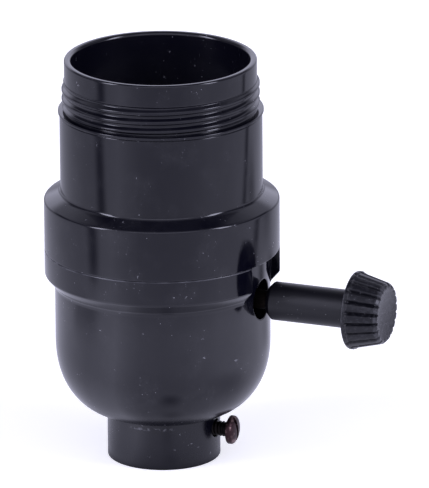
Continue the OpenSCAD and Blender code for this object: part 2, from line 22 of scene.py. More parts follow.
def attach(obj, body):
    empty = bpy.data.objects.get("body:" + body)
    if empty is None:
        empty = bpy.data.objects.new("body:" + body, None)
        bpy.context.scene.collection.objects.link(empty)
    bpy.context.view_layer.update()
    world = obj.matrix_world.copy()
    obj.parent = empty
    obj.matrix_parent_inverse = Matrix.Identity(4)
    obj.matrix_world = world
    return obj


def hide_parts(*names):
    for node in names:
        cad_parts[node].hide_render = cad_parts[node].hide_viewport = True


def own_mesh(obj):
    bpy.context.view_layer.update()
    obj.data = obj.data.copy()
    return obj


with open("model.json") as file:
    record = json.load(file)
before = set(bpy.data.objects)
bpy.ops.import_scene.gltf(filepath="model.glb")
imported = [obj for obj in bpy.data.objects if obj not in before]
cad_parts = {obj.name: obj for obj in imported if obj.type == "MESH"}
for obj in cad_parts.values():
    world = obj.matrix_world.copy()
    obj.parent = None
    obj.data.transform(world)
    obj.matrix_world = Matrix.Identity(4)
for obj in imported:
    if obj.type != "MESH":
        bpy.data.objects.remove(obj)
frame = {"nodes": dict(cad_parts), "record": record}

LOG = logging.getLogger("lamp_socket")
MM = 0.001
SAME = 1e-6  # Two radii in millimetres that differ by less are one.

Colour = tuple[float, float, float]
Spot = tuple[float, float, float]
Face = tuple[int, ...]
Outline = list[tuple[float, float]]
Number = Union[int, float]
Feed = Union["Signal", Number, Sequence[float], str, bpy.types.ID]

WHITE: Colour = (1.0, 1.0, 1.0)


class Axis(Enum):
    """The direction that a turned piece is turned about."""

    UP = "z"
    KNOB = "x"


def maths(operation: str, swapped: bool = False) -> Callable[..., "Signal"]:
    """Makes a method of Signal that adds one Math node.

    Args:
        operation: What the node works out.
        swapped: Whether the signal is its last term, and not its first.

    Returns:
        The method.
    """

    def method(self: "Signal", *others: Feed) -> "Signal":
        """Adds the node and gives its result."""
        terms = (*others, self) if swapped else (self, *others)
        return self.graph.node("ShaderNodeMath", {"operation": operation}, dict(enumerate(terms)))

    return method


class Signal:
    """A value that flows from one node to the next; arithmetic on it adds the nodes that do it.

    y.angle_from(x) is the angle of the point (x, y), from -pi to pi.
    """

    def __init__(self, graph: "Graph", socket: bpy.types.NodeSocket) -> None:
        """Wraps an output socket of a graph."""
        self.graph = graph
        self.socket = socket

    __add__ = __radd__ = maths("ADD")
    __sub__ = maths("SUBTRACT")
    __rsub__ = maths("SUBTRACT", swapped=True)
    __mul__ = __rmul__ = maths("MULTIPLY")
    __truediv__ = maths("DIVIDE")
    __pow__ = maths("POWER")
    abs = maths("ABSOLUTE")
    fraction = maths("FRACT")
    lower = maths("MINIMUM")
    higher = maths("MAXIMUM")
    angle_from = maths("ARCTAN2")

    def step(self, low: Feed, high: Feed) -> "Signal":
        """Rises smoothly from 0 at low to 1 at high.

        Args:
            low: Where it starts to rise.
            high: Where it is 1; below low, the step falls instead.

        Returns:
            The step.
        """
        return self.graph.node(
            "ShaderNodeMapRange",
            {"interpolation_type": "SMOOTHSTEP", "clamp": True},
            {"Value": self, "From Min": low, "From Max": high, "To Min": 0.0, "To Max": 1.0},
        )

    def between(self, low: Feed, high: Feed, edge: Feed) -> "Signal":
        """0 outside low and high, and 1 from one edge's width inside each."""
        return self.step(low, low + edge) * self.step(high, high - edge)


def from_middle(across: Signal, along: Signal) -> Signal:
    """Distance of the point (across, along) from the origin."""
    return (across * across + along * along) ** 0.5


class Graph:
    """A node tree of any kind that is filled through one method."""

    def __init__(self, tree: bpy.types.NodeTree) -> None:
        """Starts from an empty tree."""
        self.tree = tree
        tree.nodes.clear()

    def node(
        self,
        kind: str,
        settings: Mapping[str, object] | None = None,
        values: Mapping[Union[str, int], Feed] | None = None,
        output: Union[str, int] = 0,
    ) -> Signal:
        """Adds a node.

        Args:
            kind: The node's type.
            settings: Its properties, set first; "stops" fills its colour ramp.
            values: Values or links for its inputs, by name or number.
            output: The output that is wanted.

        Returns:
            That output.
        """
        made = self.tree.nodes.new(kind)
        for key, value in (settings or {}).items():
            if key == "stops":
                self._fill_ramp(made.color_ramp, value)
            else:
                setattr(made, key, value)
        for key, value in (values or {}).items():
            self.feed(made.inputs[key], value)
        return Signal(self, made.outputs[output] if made.outputs else None)

    def feed(self, socket: bpy.types.NodeSocket, value: Feed) -> None:
        """Links a signal to a socket, or sets the socket's own value.

        Args:
            socket: The socket.
            value: The signal or the value.
        """
        if isinstance(value, Signal):
            self.tree.links.new(value.socket, socket)
        elif socket.type == "RGBA" and not isinstance(value, (int, float)):
            socket.default_value = (*value, 1.0)
        else:
            socket.default_value = value

    def mix(self, factor: Feed, first: Feed, second: Feed) -> Signal:
        """Mixes two colours by a factor."""
        values = {0: factor, 6: first, 7: second}
        return self.node("ShaderNodeMix", {"data_type": "RGBA"}, values, output=2)

    def noise(self, where: Signal, scale: float, detail: float = 2.0, rough: float = 0.5) -> Signal:
        """Soft noise from 0 to 1 with features of about 1 / scale metres."""
        values = {"Vector": where, "Scale": scale, "Detail": detail, "Roughness": rough}
        return self.node("ShaderNodeTexNoise", {"noise_dimensions": "3D"}, values)

    def stretched(self, where: Signal, share: Sequence[float]) -> Signal:
        """Scales a position along each axis, to draw a pattern out."""
        return self.node("ShaderNodeMapping", None, {"Vector": where, "Scale": share})

    def parts(self, vector: Signal) -> tuple[Signal, Signal, Signal]:
        """The three parts of a vector."""
        outputs = self.node("ShaderNodeSeparateXYZ", None, {0: vector}).socket.node.outputs
        return tuple(Signal(self, outputs[i]) for i in range(3))

    @staticmethod
    def _fill_ramp(ramp: bpy.types.ColorRamp, stops: Sequence[tuple[float, float]]) -> None:
        """Fills a colour ramp with greys.

        Args:
            ramp: The ramp.
            stops: Place and brightness of each grey.
        """
        ramp.interpolation = "LINEAR"
        while len(ramp.elements) > 1:
            ramp.elements.remove(ramp.elements[-1])
        for number, (place, grey) in enumerate(stops):
            element = ramp.elements[0] if number == 0 else ramp.elements.new(place)
            element.position = place
            element.color = (grey, grey, grey, 1.0)


class Surface(Graph):
    """The node tree of one finish, with one shader at its end."""

    def __init__(self, name: str) -> None:
        """Makes an empty material.

        Args:
            name: Its name.
        """
        self.material = bpy.data.materials.new(name)
        self.material.use_nodes = True
        super().__init__(self.material.node_tree)
        self.where = self.node("ShaderNodeTexCoord", output="Object")

    def bump(self, height: Feed, rise_mm: float, under: Feed | None = None) -> Signal:
        """Turns a height from 0 to 1 into a tilt of the surface.

        Args:
            height: The height.
            rise_mm: The real height of 1, in millimetres.
            under: An earlier bump that this one is added to.

        Returns:
            The tilted normal.
        """
        values = {"Height": height, "Distance": rise_mm * MM, "Strength": 1.0}
        if under is not None:
            values["Normal"] = under
        return self.node("ShaderNodeBump", None, values)

    def specks(self, spacing_mm: float, size: float, share: float) -> Signal:
        """Small separate marks.

        Args:
            spacing_mm: Distance between places where a mark may be.
            size: Radius of a mark, as a share of that spacing.
            share: Share of the places that have one.

        Returns:
            1 on a mark and 0 beside it.
        """
        values = {"Vector": self.where, "Scale": 1000.0 / spacing_mm}
        cells = self.node("ShaderNodeTexVoronoi", {"feature": "F1"}, values).socket.node.outputs
        pick = self.parts(Signal(self, cells["Color"]))[0]
        mark = Signal(self, cells["Distance"]).step(size, size * 0.6)
        return mark * pick.step(1.0 - share - 0.01, 1.0 - share + 0.01)

    def finish(self, **sockets: Feed) -> bpy.types.Material:
        """Ends the tree in a Principled shader.

        Args:
            **sockets: Its inputs, with spaces written as underscores.

        Returns:
            The material.
        """
        values = {key.replace("_", " "): value for key, value in sockets.items()}
        shader = self.node("ShaderNodeBsdfPrincipled", None, values)
        self.node("ShaderNodeOutputMaterial", None, {"Surface": shader})
        return self.material


@dataclass(frozen=True)
class GlossPhenolic:
    """Black phenolic from a polished mould, with faint waves, a thin film of dirt, dust and hairs.

    Attributes:
        colour: Its colour where it is clean.
        film: Colour of the film of dirt.
        pale: Colour of dust and hairs, of the seam's wear and painted highlight, and of the neck's
            patch.
        roughness: Where it is clean.
        wave_mm: Height of the waves in its gloss.
        inner_mm: Radius inside which it is duller.
        seam_mm: Height of the seam, under which the rim is painted pale for its wear and a painted
            highlight.
        rim_mm: Radius of that rim.
        neck_mm: Lowest and highest point of the pale patch on the neck.
    """

    colour: Colour = (0.0022, 0.0022, 0.0058)
    film: Colour = (0.03, 0.03, 0.034)
    pale: Colour = (0.36, 0.36, 0.39)
    roughness: float = 0.09
    wave_mm: float = 0.0045
    inner_mm: float = 15.05
    seam_mm: float = 36.8
    rim_mm: float = 19.85
    neck_mm: tuple[float, float] = (6.9, 7.5)

    def material(self) -> bpy.types.Material:
        """Builds it.

        Returns:
            The material.
        """
        s = Surface("black_phenolic")
        x, y, z = s.parts(s.where)
        radius = from_middle(x, y)
        haze = s.noise(s.where, 190.0, 4.0, 0.6)
        fine = s.noise(s.where, 1500.0, 3.0, 0.6)
        rubbed = s.noise(s.stretched(s.where, (1.0, 1.0, 0.12)), 2600.0, 2.0)
        # Pale marks: dust and hairs, the seam edge's wear and painted highlight, and the neck's
        # pale patch.
        edges = self._seam_wear_and_highlight(s, z, radius) + self._neck(x, y, z, radius, fine)
        pale = (self._marks(s, haze, fine) + edges).lower(1.0)
        film = haze.step(0.42, 0.75) * 0.2 + fine.step(0.45, 0.8) * haze.step(0.5, 0.7) * 0.35
        inside = radius.step(self.inner_mm * MM, (self.inner_mm - 0.1) * MM)
        waves = s.bump(s.noise(s.where, 260.0, 1.0), self.wave_mm)
        return s.finish(
            Base_Color=s.mix(pale, s.mix(film * (1.0 - inside), self.colour, self.film), self.pale),
            Roughness=self.roughness
            + inside * 0.15
            + haze.step(0.45, 0.75) * 0.05
            + rubbed.step(0.62, 0.75) * 0.06
            + pale * 0.5,
            Normal=s.bump(fine, 0.0006, waves),
        )

    @staticmethod
    def _marks(s: Surface, haze: Signal, fine: Signal) -> Signal:
        """Dust and short hairs, most of them in clusters.

        Args:
            s: The finish's tree.
            haze: Where the clusters are.
            fine: Where the hairs break off.

        Returns:
            How pale the marks are.
        """
        cluster = haze.step(0.55, 0.66)
        dust = s.specks(1.7, 0.05, 0.28) * 0.7 + s.specks(0.8, 0.09, 0.5) * cluster
        curl = (s.noise(s.where, 620.0, 1.0) - 0.5).abs().step(0.022, 0.008)
        return dust + curl * fine.step(0.62, 0.68) * haze.step(0.5, 0.6) * 0.45

    def _seam_wear_and_highlight(self, s: Surface, z: Signal, radius: Signal) -> Signal:
        """The seam's rounded rim, painted pale: rubbed wear and a painted highlight.

        Args:
            s: The finish's tree.
            z: Height.
            radius: Distance from the upright axis.

        Returns:
            How pale it is.
        """
        # Painted highlight on the seam's rounded edge, broken up by noise like rubbed wear.
        seam = z.step((self.seam_mm - 0.27) * MM, (self.seam_mm - 0.17) * MM)
        rim = seam * z.step((self.seam_mm + 0.02) * MM, (self.seam_mm - 0.01) * MM)
        rim = rim * radius.step((self.rim_mm - 0.3) * MM, (self.rim_mm - 0.2) * MM)
        return rim * (s.noise(s.where, 420.0, 2.0).step(0.35, 0.65) * 0.16 + 0.05)

    def _neck(self, x: Signal, y: Signal, z: Signal, radius: Signal, fine: Signal) -> Signal:
        """A pale noisy patch at the top of the neck, on its front.

        Args:
            x: Place towards the knob.
            y: Place to the back.
            z: Height.
            radius: Distance from the upright axis.
            fine: Where the patch is broken up.

        Returns:
            How pale it is.
        """
        low, high = self.neck_mm
        band = z.between(low * MM, high * MM, 0.2 * MM)
        face = x.step(-3.0 * MM, -1.0 * MM) * x.step(5.5 * MM, 4.0 * MM) * y.step(0.0, -5.0 * MM)
        return band * face * radius.step(10.0 * MM, 9.7 * MM) * fine.step(0.5, 0.56) * 0.22


@dataclass(frozen=True)
class SatinPhenolic:
    """The knob's phenolic, handled until it is satin, pale where fingers wear its rim.

    Attributes:
        colour: Its colour where it is clean.
        worn: Its colour where it is rubbed.
        dust: Colour of the dust on it.
        roughness: Where it is clean.
        gloss: Level of its gloss.
        axis_mm: Height of the knob's axis.
        lip_mm: Start and end of the lip along that axis.
        face_mm: Place of its face.
        rim_mm: Radius of the face's rim.
    """

    colour: Colour = (0.0025, 0.0025, 0.005)
    worn: Colour = (0.05, 0.05, 0.056)
    dust: Colour = (0.4, 0.4, 0.42)
    roughness: float = 0.3
    gloss: float = 0.39
    axis_mm: float = 29.4
    lip_mm: tuple[float, float] = (34.5, 34.9)
    face_mm: float = 40.5
    rim_mm: float = 4.5

    def material(self) -> bpy.types.Material:
        """Builds it.

        Returns:
            The material.
        """
        s = Surface("knob_phenolic")
        lines = s.noise(s.stretched(s.where, (0.03, 1.0, 1.0)), 5200.0, 2.0, 0.7)
        patches = s.noise(s.where, 900.0, 3.0, 0.65)
        pits = s.noise(s.where, 1900.0, 3.0)
        x, y, z = s.parts(s.where)
        radius = from_middle(y, z - self.axis_mm * MM)
        front = x.step((self.face_mm - 0.8) * MM, (self.face_mm - 0.4) * MM)
        rim = front * radius.step((self.rim_mm - 0.5) * MM, (self.rim_mm + 0.3) * MM)
        low, high = self.lip_mm
        lip = x.between(low * MM, high * MM, 0.1 * MM) * radius.step(6.2 * MM, 6.6 * MM)
        rubbed = patches.step(0.42, 0.66)
        flecks = pits.step(0.5, 0.62) * x.step((low - 0.3) * MM, (low + 0.3) * MM)
        wear = (rim + lip) * (rubbed * 0.7 + 0.2) + front * rubbed * 0.15 + flecks * 0.3
        dust = (s.specks(1.3, 0.06, 0.5) + s.specks(0.6, 0.12, 0.2) * 0.4).lower(1.0)
        return s.finish(
            Base_Color=s.mix(dust, s.mix(wear.lower(1.0), self.colour, self.worn), self.dust),
            Specular_IOR_Level=self.gloss,
            Roughness=self.roughness + patches * 0.12 - front * 0.1,
            Normal=s.bump(lines, 0.005, s.bump(pits * (front * 7.0 + 1.0), 0.004)),
        )


@dataclass(frozen=True)
class DullPhenolic:
    """Cheaper moulded compound of the inner body, dull, with filler showing in it."""

    colour: Colour = (0.05, 0.04, 0.035)
    filler: Colour = (0.12, 0.09, 0.07)

    def material(self) -> bpy.types.Material:
        """Builds it.

        Returns:
            The material.
        """
        s = Surface("base_phenolic")
        filler = s.specks(0.5, 0.32, 0.3)
        cloud = s.noise(s.where, 400.0, 4.0)
        return s.finish(
            Base_Color=s.mix(filler * 0.6 + cloud.step(0.4, 0.8) * 0.3, self.colour, self.filler),
            Roughness=0.55 + cloud * 0.15,
            Normal=s.bump(s.noise(s.where, 2500.0, 3.0), 0.006),
        )


@dataclass(frozen=True)
class StampedMetal:
    """A sheet or turned metal, with fine working lines and a patchy skin.

    Attributes:
        name: The finish's name.
        colour: Bright metal.
        tarnish: Its colour where it has dulled.
        roughness: Of the bright metal.
        lines: How a line of its working is drawn out along x, y and z.
        dulled: Share of the surface that has dulled.
    """

    name: str
    colour: Colour
    tarnish: Colour
    roughness: float = 0.24
    lines: tuple[float, float, float] = (1.0, 1.0, 0.05)
    dulled: float = 0.35

    def material(self) -> bpy.types.Material:
        """Builds it.

        Returns:
            The material.
        """
        s = Surface(self.name)
        patches = s.noise(s.where, 330.0, 5.0, 0.62)
        lines = s.noise(s.stretched(s.where, self.lines), 6000.0, 2.0, 0.6)
        dull = patches.step(0.75 - self.dulled, 0.95 - self.dulled)
        return s.finish(
            Base_Color=s.mix(dull, self.colour, self.tarnish),
            Metallic=1.0,
            Roughness=self.roughness + dull * 0.16 + lines * 0.08,
            Normal=s.bump(lines, 0.0025, s.bump(patches, 0.004)),
        )


@dataclass(frozen=True)
class BronzedSteel:
    """Dark reddish-brown plating, worn bright on the head's high places; its shank is painted near
    black as painted shade.

    Attributes:
        colour: The plating.
        worn: Its colour where it is worn.
        shank: Painted shade on the shank: near black, for the shadow that it lies in.
        axis_mm: Height of the screw's axis.
        shank_mm: Radius of the shank.
        head_mm: Where the head starts along that axis.
    """

    colour: Colour = (0.04, 0.02, 0.023)
    worn: Colour = (0.3, 0.2, 0.19)
    shank: Colour = (0.008, 0.006, 0.006)
    axis_mm: float = 5.5
    shank_mm: float = 1.35
    head_mm: float = 12.0

    def material(self) -> bpy.types.Material:
        """Builds it.

        Returns:
            The material.
        """
        s = Surface("bronzed_steel")
        patches = s.noise(s.where, 900.0, 4.0, 0.65)
        x, y, z = s.parts(s.where)
        radius = from_middle(y, z - self.axis_mm * MM)
        # Painted shade: the shank, up to the head, is coloured near black for the shadow that it
        # lies in.
        shank = radius.step((self.shank_mm + 0.15) * MM, self.shank_mm * MM)
        shank = shank * x.step((self.head_mm + 0.4) * MM, self.head_mm * MM)
        wear = patches.step(0.5, 0.78) * (1.0 - shank)
        return s.finish(
            Base_Color=s.mix(wear, s.mix(shank, self.colour, self.shank), self.worn),
            Metallic=0.85,
            Roughness=0.3 + patches * 0.2,
            Normal=s.bump(s.noise(s.where, 3000.0, 3.0), 0.006),
        )


@dataclass(frozen=True)
class PressedFibre:
    """Vulcanised fibre board: brown grey, with short pale hairs pressed into it."""

    colour: Colour = (0.2, 0.13, 0.085)
    hair: Colour = (0.36, 0.27, 0.2)

    def material(self) -> bpy.types.Material:
        """Builds it.

        Returns:
            The material.
        """
        s = Surface("fibre")
        one_way = s.noise(s.stretched(s.where, (0.15, 1.0, 1.0)), 5000.0, 2.0)
        other_way = s.noise(s.stretched(s.where, (1.0, 0.15, 1.0)), 5000.0, 2.0)
        hairs = one_way.step(0.55, 0.7).higher(other_way.step(0.57, 0.72))
        return s.finish(
            Base_Color=s.mix(hairs, self.colour, self.hair),
            Roughness=0.68,
            Normal=s.bump(hairs, 0.008),
        )


Finish = Union[GlossPhenolic, SatinPhenolic, DullPhenolic, StampedMetal, BronzedSteel, PressedFibre]

METALS = (
    StampedMetal("brass", (0.78, 0.56, 0.24), (0.42, 0.27, 0.1)),
    StampedMetal("plated_brass", (0.68, 0.66, 0.62), (0.42, 0.4, 0.36), dulled=0.25),
    StampedMetal("aluminium", (0.62, 0.63, 0.64), (0.32, 0.32, 0.33), 0.38, dulled=0.5),
    StampedMetal("steel", (0.52, 0.53, 0.55), (0.3, 0.29, 0.27), 0.32),
    # Near-black brass for the switch shaft: painted shade for the shadow in the stem's hole.
    StampedMetal("aged_brass", (0.014, 0.011, 0.009), (0.008, 0.007, 0.006), 0.5),
)
FINISHES: dict[str, Finish] = {
    "black_phenolic": GlossPhenolic(),
    "knob_phenolic": SatinPhenolic(),
    "base_phenolic": DullPhenolic(),
    "bronzed_steel": BronzedSteel(),
    "fibre": PressedFibre(),
    **{metal.name: metal for metal in METALS},
}
# Nodes dressed in a darkened copy of their finish, as painted shade.
PAINTED_SHADE_SLOTS = {"switch_shaft": "aged_brass"}


class Wardrobe:
    """Builds each finish once, and hands it out by its slot's name."""

    def __init__(self) -> None:
        """Starts with nothing built."""
        self.built: dict[str, bpy.types.Material] = {}

    def material(self, slot: str) -> bpy.types.Material:
        """The material of a slot.

        Args:
            slot: The slot's name.

        Returns:
            Its material, built on the first call.
        """
        if slot not in self.built:
            self.built[slot] = FINISHES[slot].material()
        return self.built[slot]

    def dress(self, node: bpy.types.Object, slot: str) -> None:
        """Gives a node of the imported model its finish."""
        node.data.materials.clear()
        node.data.materials.append(self.material(slot))


def rounded(
    corners: Sequence[tuple[float, ...]], steps: int = 6, closed: bool = True, lead: float = 0.12
) -> Outline:
    """Rounds the corners of a line.

    Args:
        corners: Points of the line, each with the radius of its corner, or none for a sharp one.
        steps: Sides of each rounded corner.
        closed: Whether the line's end joins its start.
        lead: Distance of an extra point before and after each corner, which keeps shading clean.

    Returns:
        The points of the rounded line.
    """
    spots = [Vector(c[:2]) for c in corners]
    made: list[Vector] = []
    count = len(spots)
    for i, corner in enumerate(corners):
        here = spots[i]
        if not closed and i in (0, count - 1):
            made.append(here)
            continue
        back, on = spots[i - 1] - here, spots[(i + 1) % count] - here
        room = 0.45 * min(back.length, on.length)
        turn = math.pi - back.angle(on, math.pi)
        radius = corner[2] if len(corner) > 2 else 0.0
        reach = min(radius * math.tan(turn / 2), room) if radius else 0.0
        back.normalize()
        on.normalize()
        ahead = min(lead, room - reach)
        if ahead > 0.01:
            made.append(here + back * (reach + ahead))
        if reach > 1e-4 and turn > 1e-3:
            radius = reach / math.tan(turn / 2)
            centre = here + (back + on).normalized() * (radius / math.cos(turn / 2))
            start, end = here + back * reach - centre, here + on * reach - centre
            sweep = start.angle_signed(end)
            for k in range(steps + 1):
                angle = -sweep * k / steps
                c, s = math.cos(angle), math.sin(angle)
                spun = Vector((start.x * c - start.y * s, start.x * s + start.y * c))
                made.append(centre + spun)
        else:
            made.append(here)
        if ahead > 0.01:
            made.append(here + on * (reach + ahead))
    return [(p.x, p.y) for p in made]


def filled(outline: Outline, low: float, high: float, gap: float, radius: float) -> Outline:
    """Puts close points on the upright stretch of an outline at a radius, where a thread will be.

    Args:
        outline: The outline.
        low: Lower end of the stretch.
        high: Upper end.
        gap: Distance between the points.
        radius: Radius of the stretch.

    Returns:
        The outline with those points.
    """
    made: Outline = []
    for here, after in zip(outline, [*outline[1:], outline[0]]):
        made.append(here)
        upright = abs(here[0] - radius) < 1e-3 and abs(after[0] - radius) < 1e-3
        if not upright:
            continue
        start, end = here[1], after[1]
        steps = int(abs(end - start) / gap)
        for k in range(1, steps):
            z = start + (end - start) * k / steps
            if low <= z <= high:
                made.append((radius, z))
    return made


def woven(steps: int, rows: int, width: int) -> list[Face]:
    """Joins rows of corners, each row a closed ring.

    Args:
        steps: Rows that are joined to the next one.
        rows: Rows in all; the next one of the last is the first.
        width: Corners in a row.

    Returns:
        The faces.
    """
    faces = []
    for i in range(steps):
        n = (i + 1) % rows
        for j in range(width):
            k = (j + 1) % width
            faces.append((i * width + j, i * width + k, n * width + k, n * width + j))
    return faces


def plan(radius: float, degrees: float) -> tuple[float, float]:
    """The point at a distance and an angle from the origin."""
    return radius * math.cos(math.radians(degrees)), radius * math.sin(math.radians(degrees))


class Solid:
    """Corners and faces of a piece in the making, in millimetres."""

    def __init__(self) -> None:
        """Starts empty."""
        self.corners: list[Spot] = []
        self.faces: list[Face] = []

    def add(self, corners: Sequence[Sequence[float]], faces: Sequence[Sequence[int]]) -> None:
        """Adds a closed shell.

        Args:
            corners: Its corners.
            faces: Its faces, each the numbers of its corners.
        """
        first = len(self.corners)
        self.corners.extend(tuple(float(v) for v in c) for c in corners)
        self.faces.extend(tuple(first + i for i in f) for f in faces)

    def turn(
        self, outline: Outline, segments: int, axis: Axis = Axis.UP, at: Spot = (0.0, 0.0, 0.0)
    ) -> None:
        """Adds a turned shell.

        Args:
            outline: Radius and height of each point, anticlockwise round the material. One that
                starts and ends on the axis is closed there, and any other is a ring.
            segments: Sides of each circle.
            axis: What it is turned about.
            at: Where its origin goes.
        """
        poles = outline[0][0] < SAME and outline[-1][0] < SAME
        rows = outline[1:-1] if poles else outline
        circle = [2 * math.pi * j / segments for j in range(segments)]
        spots = [(r * math.cos(a), r * math.sin(a), h) for r, h in rows for a in circle]
        count = len(rows)
        faces = woven(count - 1 if poles else count, count, segments)
        if poles:
            start, end, last = len(spots), len(spots) + 1, (count - 1) * segments
            spots += [(0.0, 0.0, outline[0][1]), (0.0, 0.0, outline[-1][1])]
            for j in range(segments):
                k = (j + 1) % segments
                faces += [(start, k, j), (end, last + j, last + k)]
        if axis is Axis.KNOB:
            spots = [(height, across, aside) for across, aside, height in spots]
        self.add([(x + at[0], y + at[1], z + at[2]) for x, y, z in spots], faces)

    def rod(
        self, radius: float, low: float, high: float, segments: int,
        axis: Axis = Axis.UP, at: Spot = (0.0, 0.0, 0.0),
    ) -> None:
        """Adds a plain round rod.

        Args:
            radius: Its radius.
            low: Its lower end.
            high: Its upper end.
            segments: Sides of its circle.
            axis: What it lies along.
            at: Where its origin goes.
        """
        self.turn([(0.0, low), (radius, low), (radius, high), (0.0, high)], segments, axis, at)

    def box(self, low: Spot, high: Spot) -> None:
        """Adds a plain block between two corners."""
        sides = [(0, 1, 3, 2), (4, 6, 7, 5), (0, 4, 5, 1), (2, 3, 7, 6), (0, 2, 6, 4), (1, 5, 7, 3)]
        self.add(list(product(*zip(low, high))), sides)

    def strip(self, path: Outline, thickness: float, half_width: float, edge: float = 0.12) -> None:
        """Adds a bent sheet that follows a path in the x and z plane.

        Args:
            path: Points of its lower side.
            thickness: Thickness of the sheet.
            half_width: Half of its width, along y.
            edge: Radius of its edges.
        """
        spots = [Vector(p) for p in path]
        ring = [(-half_width, 0.0), (half_width, 0.0), (half_width, 1.0), (-half_width, 1.0)]
        section = rounded([(y, t * thickness, edge) for y, t in ring], 3, lead=0.0)
        corners = []
        for i, low in enumerate(spots):
            along = (spots[min(i + 1, len(spots) - 1)] - spots[max(i - 1, 0)]).normalized()
            side = Vector((-along.y, along.x)) * math.copysign(thickness, along.x or 1.0)
            for y, rise in section:
                spot = low.lerp(low + side, rise / thickness)
                corners.append((spot.x, y, spot.y))
        count, rows = len(section), len(spots)
        faces = [(a, d, c, b) for a, b, c, d in woven(rows - 1, rows, count)]
        faces.append(tuple(range(count)))
        faces.append(tuple((rows - 1) * count + j for j in reversed(range(count))))
        self.add(corners, faces)

    def object(
        self, name: str, material: bpy.types.Material, sharp_deg: float = 40.0
    ) -> bpy.types.Object:
        """Makes the object.

        Args:
            name: Its name.
            material: Its finish.
            sharp_deg: Smallest angle between two faces that stays a sharp edge.

        Returns:
            The object, at the origin, with its place in its mesh.
        """
        mesh = bpy.data.meshes.new(name)
        mesh.from_pydata([(x * MM, y * MM, z * MM) for x, y, z in self.corners], [], self.faces)
        mesh.validate()
        smooth(mesh, sharp_deg)
        mesh.materials.append(material)
        made = bpy.data.objects.new(name, mesh)
        bpy.context.scene.collection.objects.link(made)
        return made


def smooth(mesh: bpy.types.Mesh, sharp_deg: float) -> None:
    """Shades a mesh smooth, but for its sharp edges.

    Args:
        mesh: The mesh.
        sharp_deg: Smallest angle between two faces that stays a sharp edge.
    """
    mesh.polygons.foreach_set("use_smooth", [True] * len(mesh.polygons))
    mesh.set_sharp_from_angle(angle=math.radians(sharp_deg))
    mesh.update()


def settled(piece: bpy.types.Object) -> bpy.types.Object:
    """Makes a piece's modifiers part of its mesh, and removes them.

    Args:
        piece: The piece.

    Returns:
        The piece.
    """
    seen = piece.evaluated_get(bpy.context.evaluated_depsgraph_get())
    mesh = bpy.data.meshes.new_from_object(seen)
    piece.modifiers.clear()
    piece.data = mesh
    return piece


def cut(piece: bpy.types.Object, tool: Solid) -> bpy.types.Object:
    """Cuts a solid out of a piece.

    Args:
        piece: The piece.
        tool: The solid.

    Returns:
        The piece.
    """
    cutter = tool.object(piece.name + "_cutter", piece.data.materials[0])
    modifier = piece.modifiers.new("cut", "BOOLEAN")
    modifier.operation, modifier.solver, modifier.object = "DIFFERENCE", "EXACT", cutter
    settled(piece)
    bpy.data.objects.remove(cutter)
    smooth(piece.data, 40.0)
    return piece


class Pattern(Graph):
    """A Geometry Nodes tree that shapes a piece, with its sizes as named inputs."""

    def __init__(self, name: str, inputs: Mapping[str, float]) -> None:
        """Starts the tree.

        Args:
            name: Its name.
            inputs: Its named inputs, with their usual values.
        """
        super().__init__(bpy.data.node_groups.new(name, "GeometryNodeTree"))
        face = self.tree.interface
        face.new_socket("Geometry", in_out="INPUT", socket_type="NodeSocketGeometry")
        for key, value in inputs.items():
            socket = face.new_socket(key, in_out="INPUT", socket_type="NodeSocketFloat")
            socket.default_value = value
        face.new_socket("Finish", in_out="INPUT", socket_type="NodeSocketMaterial")
        face.new_socket("Geometry", in_out="OUTPUT", socket_type="NodeSocketGeometry")
        self.entry = self.tree.nodes.new("NodeGroupInput")

    def given(self, name: str) -> Signal:
        """A named input."""
        return Signal(self, self.entry.outputs[name])

    def close(self, shape: Signal) -> None:
        """Ends the tree: real geometry, with its finish.

        Args:
            shape: The geometry.
        """
        real = self.node("GeometryNodeRealizeInstances", None, {0: shape})
        finish = {"Geometry": real, "Material": self.given("Finish")}
        dressed = self.node("GeometryNodeSetMaterial", None, finish)
        self.node("NodeGroupOutput", None, {"Geometry": dressed})

    def polar(self) -> tuple[Signal, Signal, Signal]:
        """Radius, angle as a share of a turn, and height of each point about the z axis."""
        x, y, z = self.parts(self.node("GeometryNodeInputPosition"))
        return from_middle(x, y), y.angle_from(x) / (2 * math.pi), z

    def push_out(self, distance: Signal) -> Signal:
        """Moves each point away from the z axis.

        Args:
            distance: How far.

        Returns:
            The moved geometry.
        """
        x, y, _ = self.parts(self.node("GeometryNodeInputPosition"))
        ratio = distance / from_middle(x, y).higher(1e-6)
        offset = self.node("ShaderNodeCombineXYZ", None, {0: x * ratio, 1: y * ratio})
        values = {"Geometry": self.given("Geometry"), "Offset": offset}
        return self.node("GeometryNodeSetPosition", None, values)

    def run(self, piece: bpy.types.Object, **values: float) -> bpy.types.Object:
        """Runs the tree on a piece and keeps the result as a plain mesh.

        Args:
            piece: The piece, upright about the z axis, with its finish.
            **values: The named inputs.

        Returns:
            The piece.
        """
        modifier = piece.modifiers.new(self.tree.name, "NODES")
        modifier.node_group = self.tree
        items = self.tree.interface.items_tree
        sockets = {s.name: s.identifier for s in items if s.in_out == "INPUT"}
        modifier[sockets["Finish"]] = piece.data.materials[0]
        for key, value in values.items():
            modifier[sockets[key]] = float(value)
        return settled(piece)


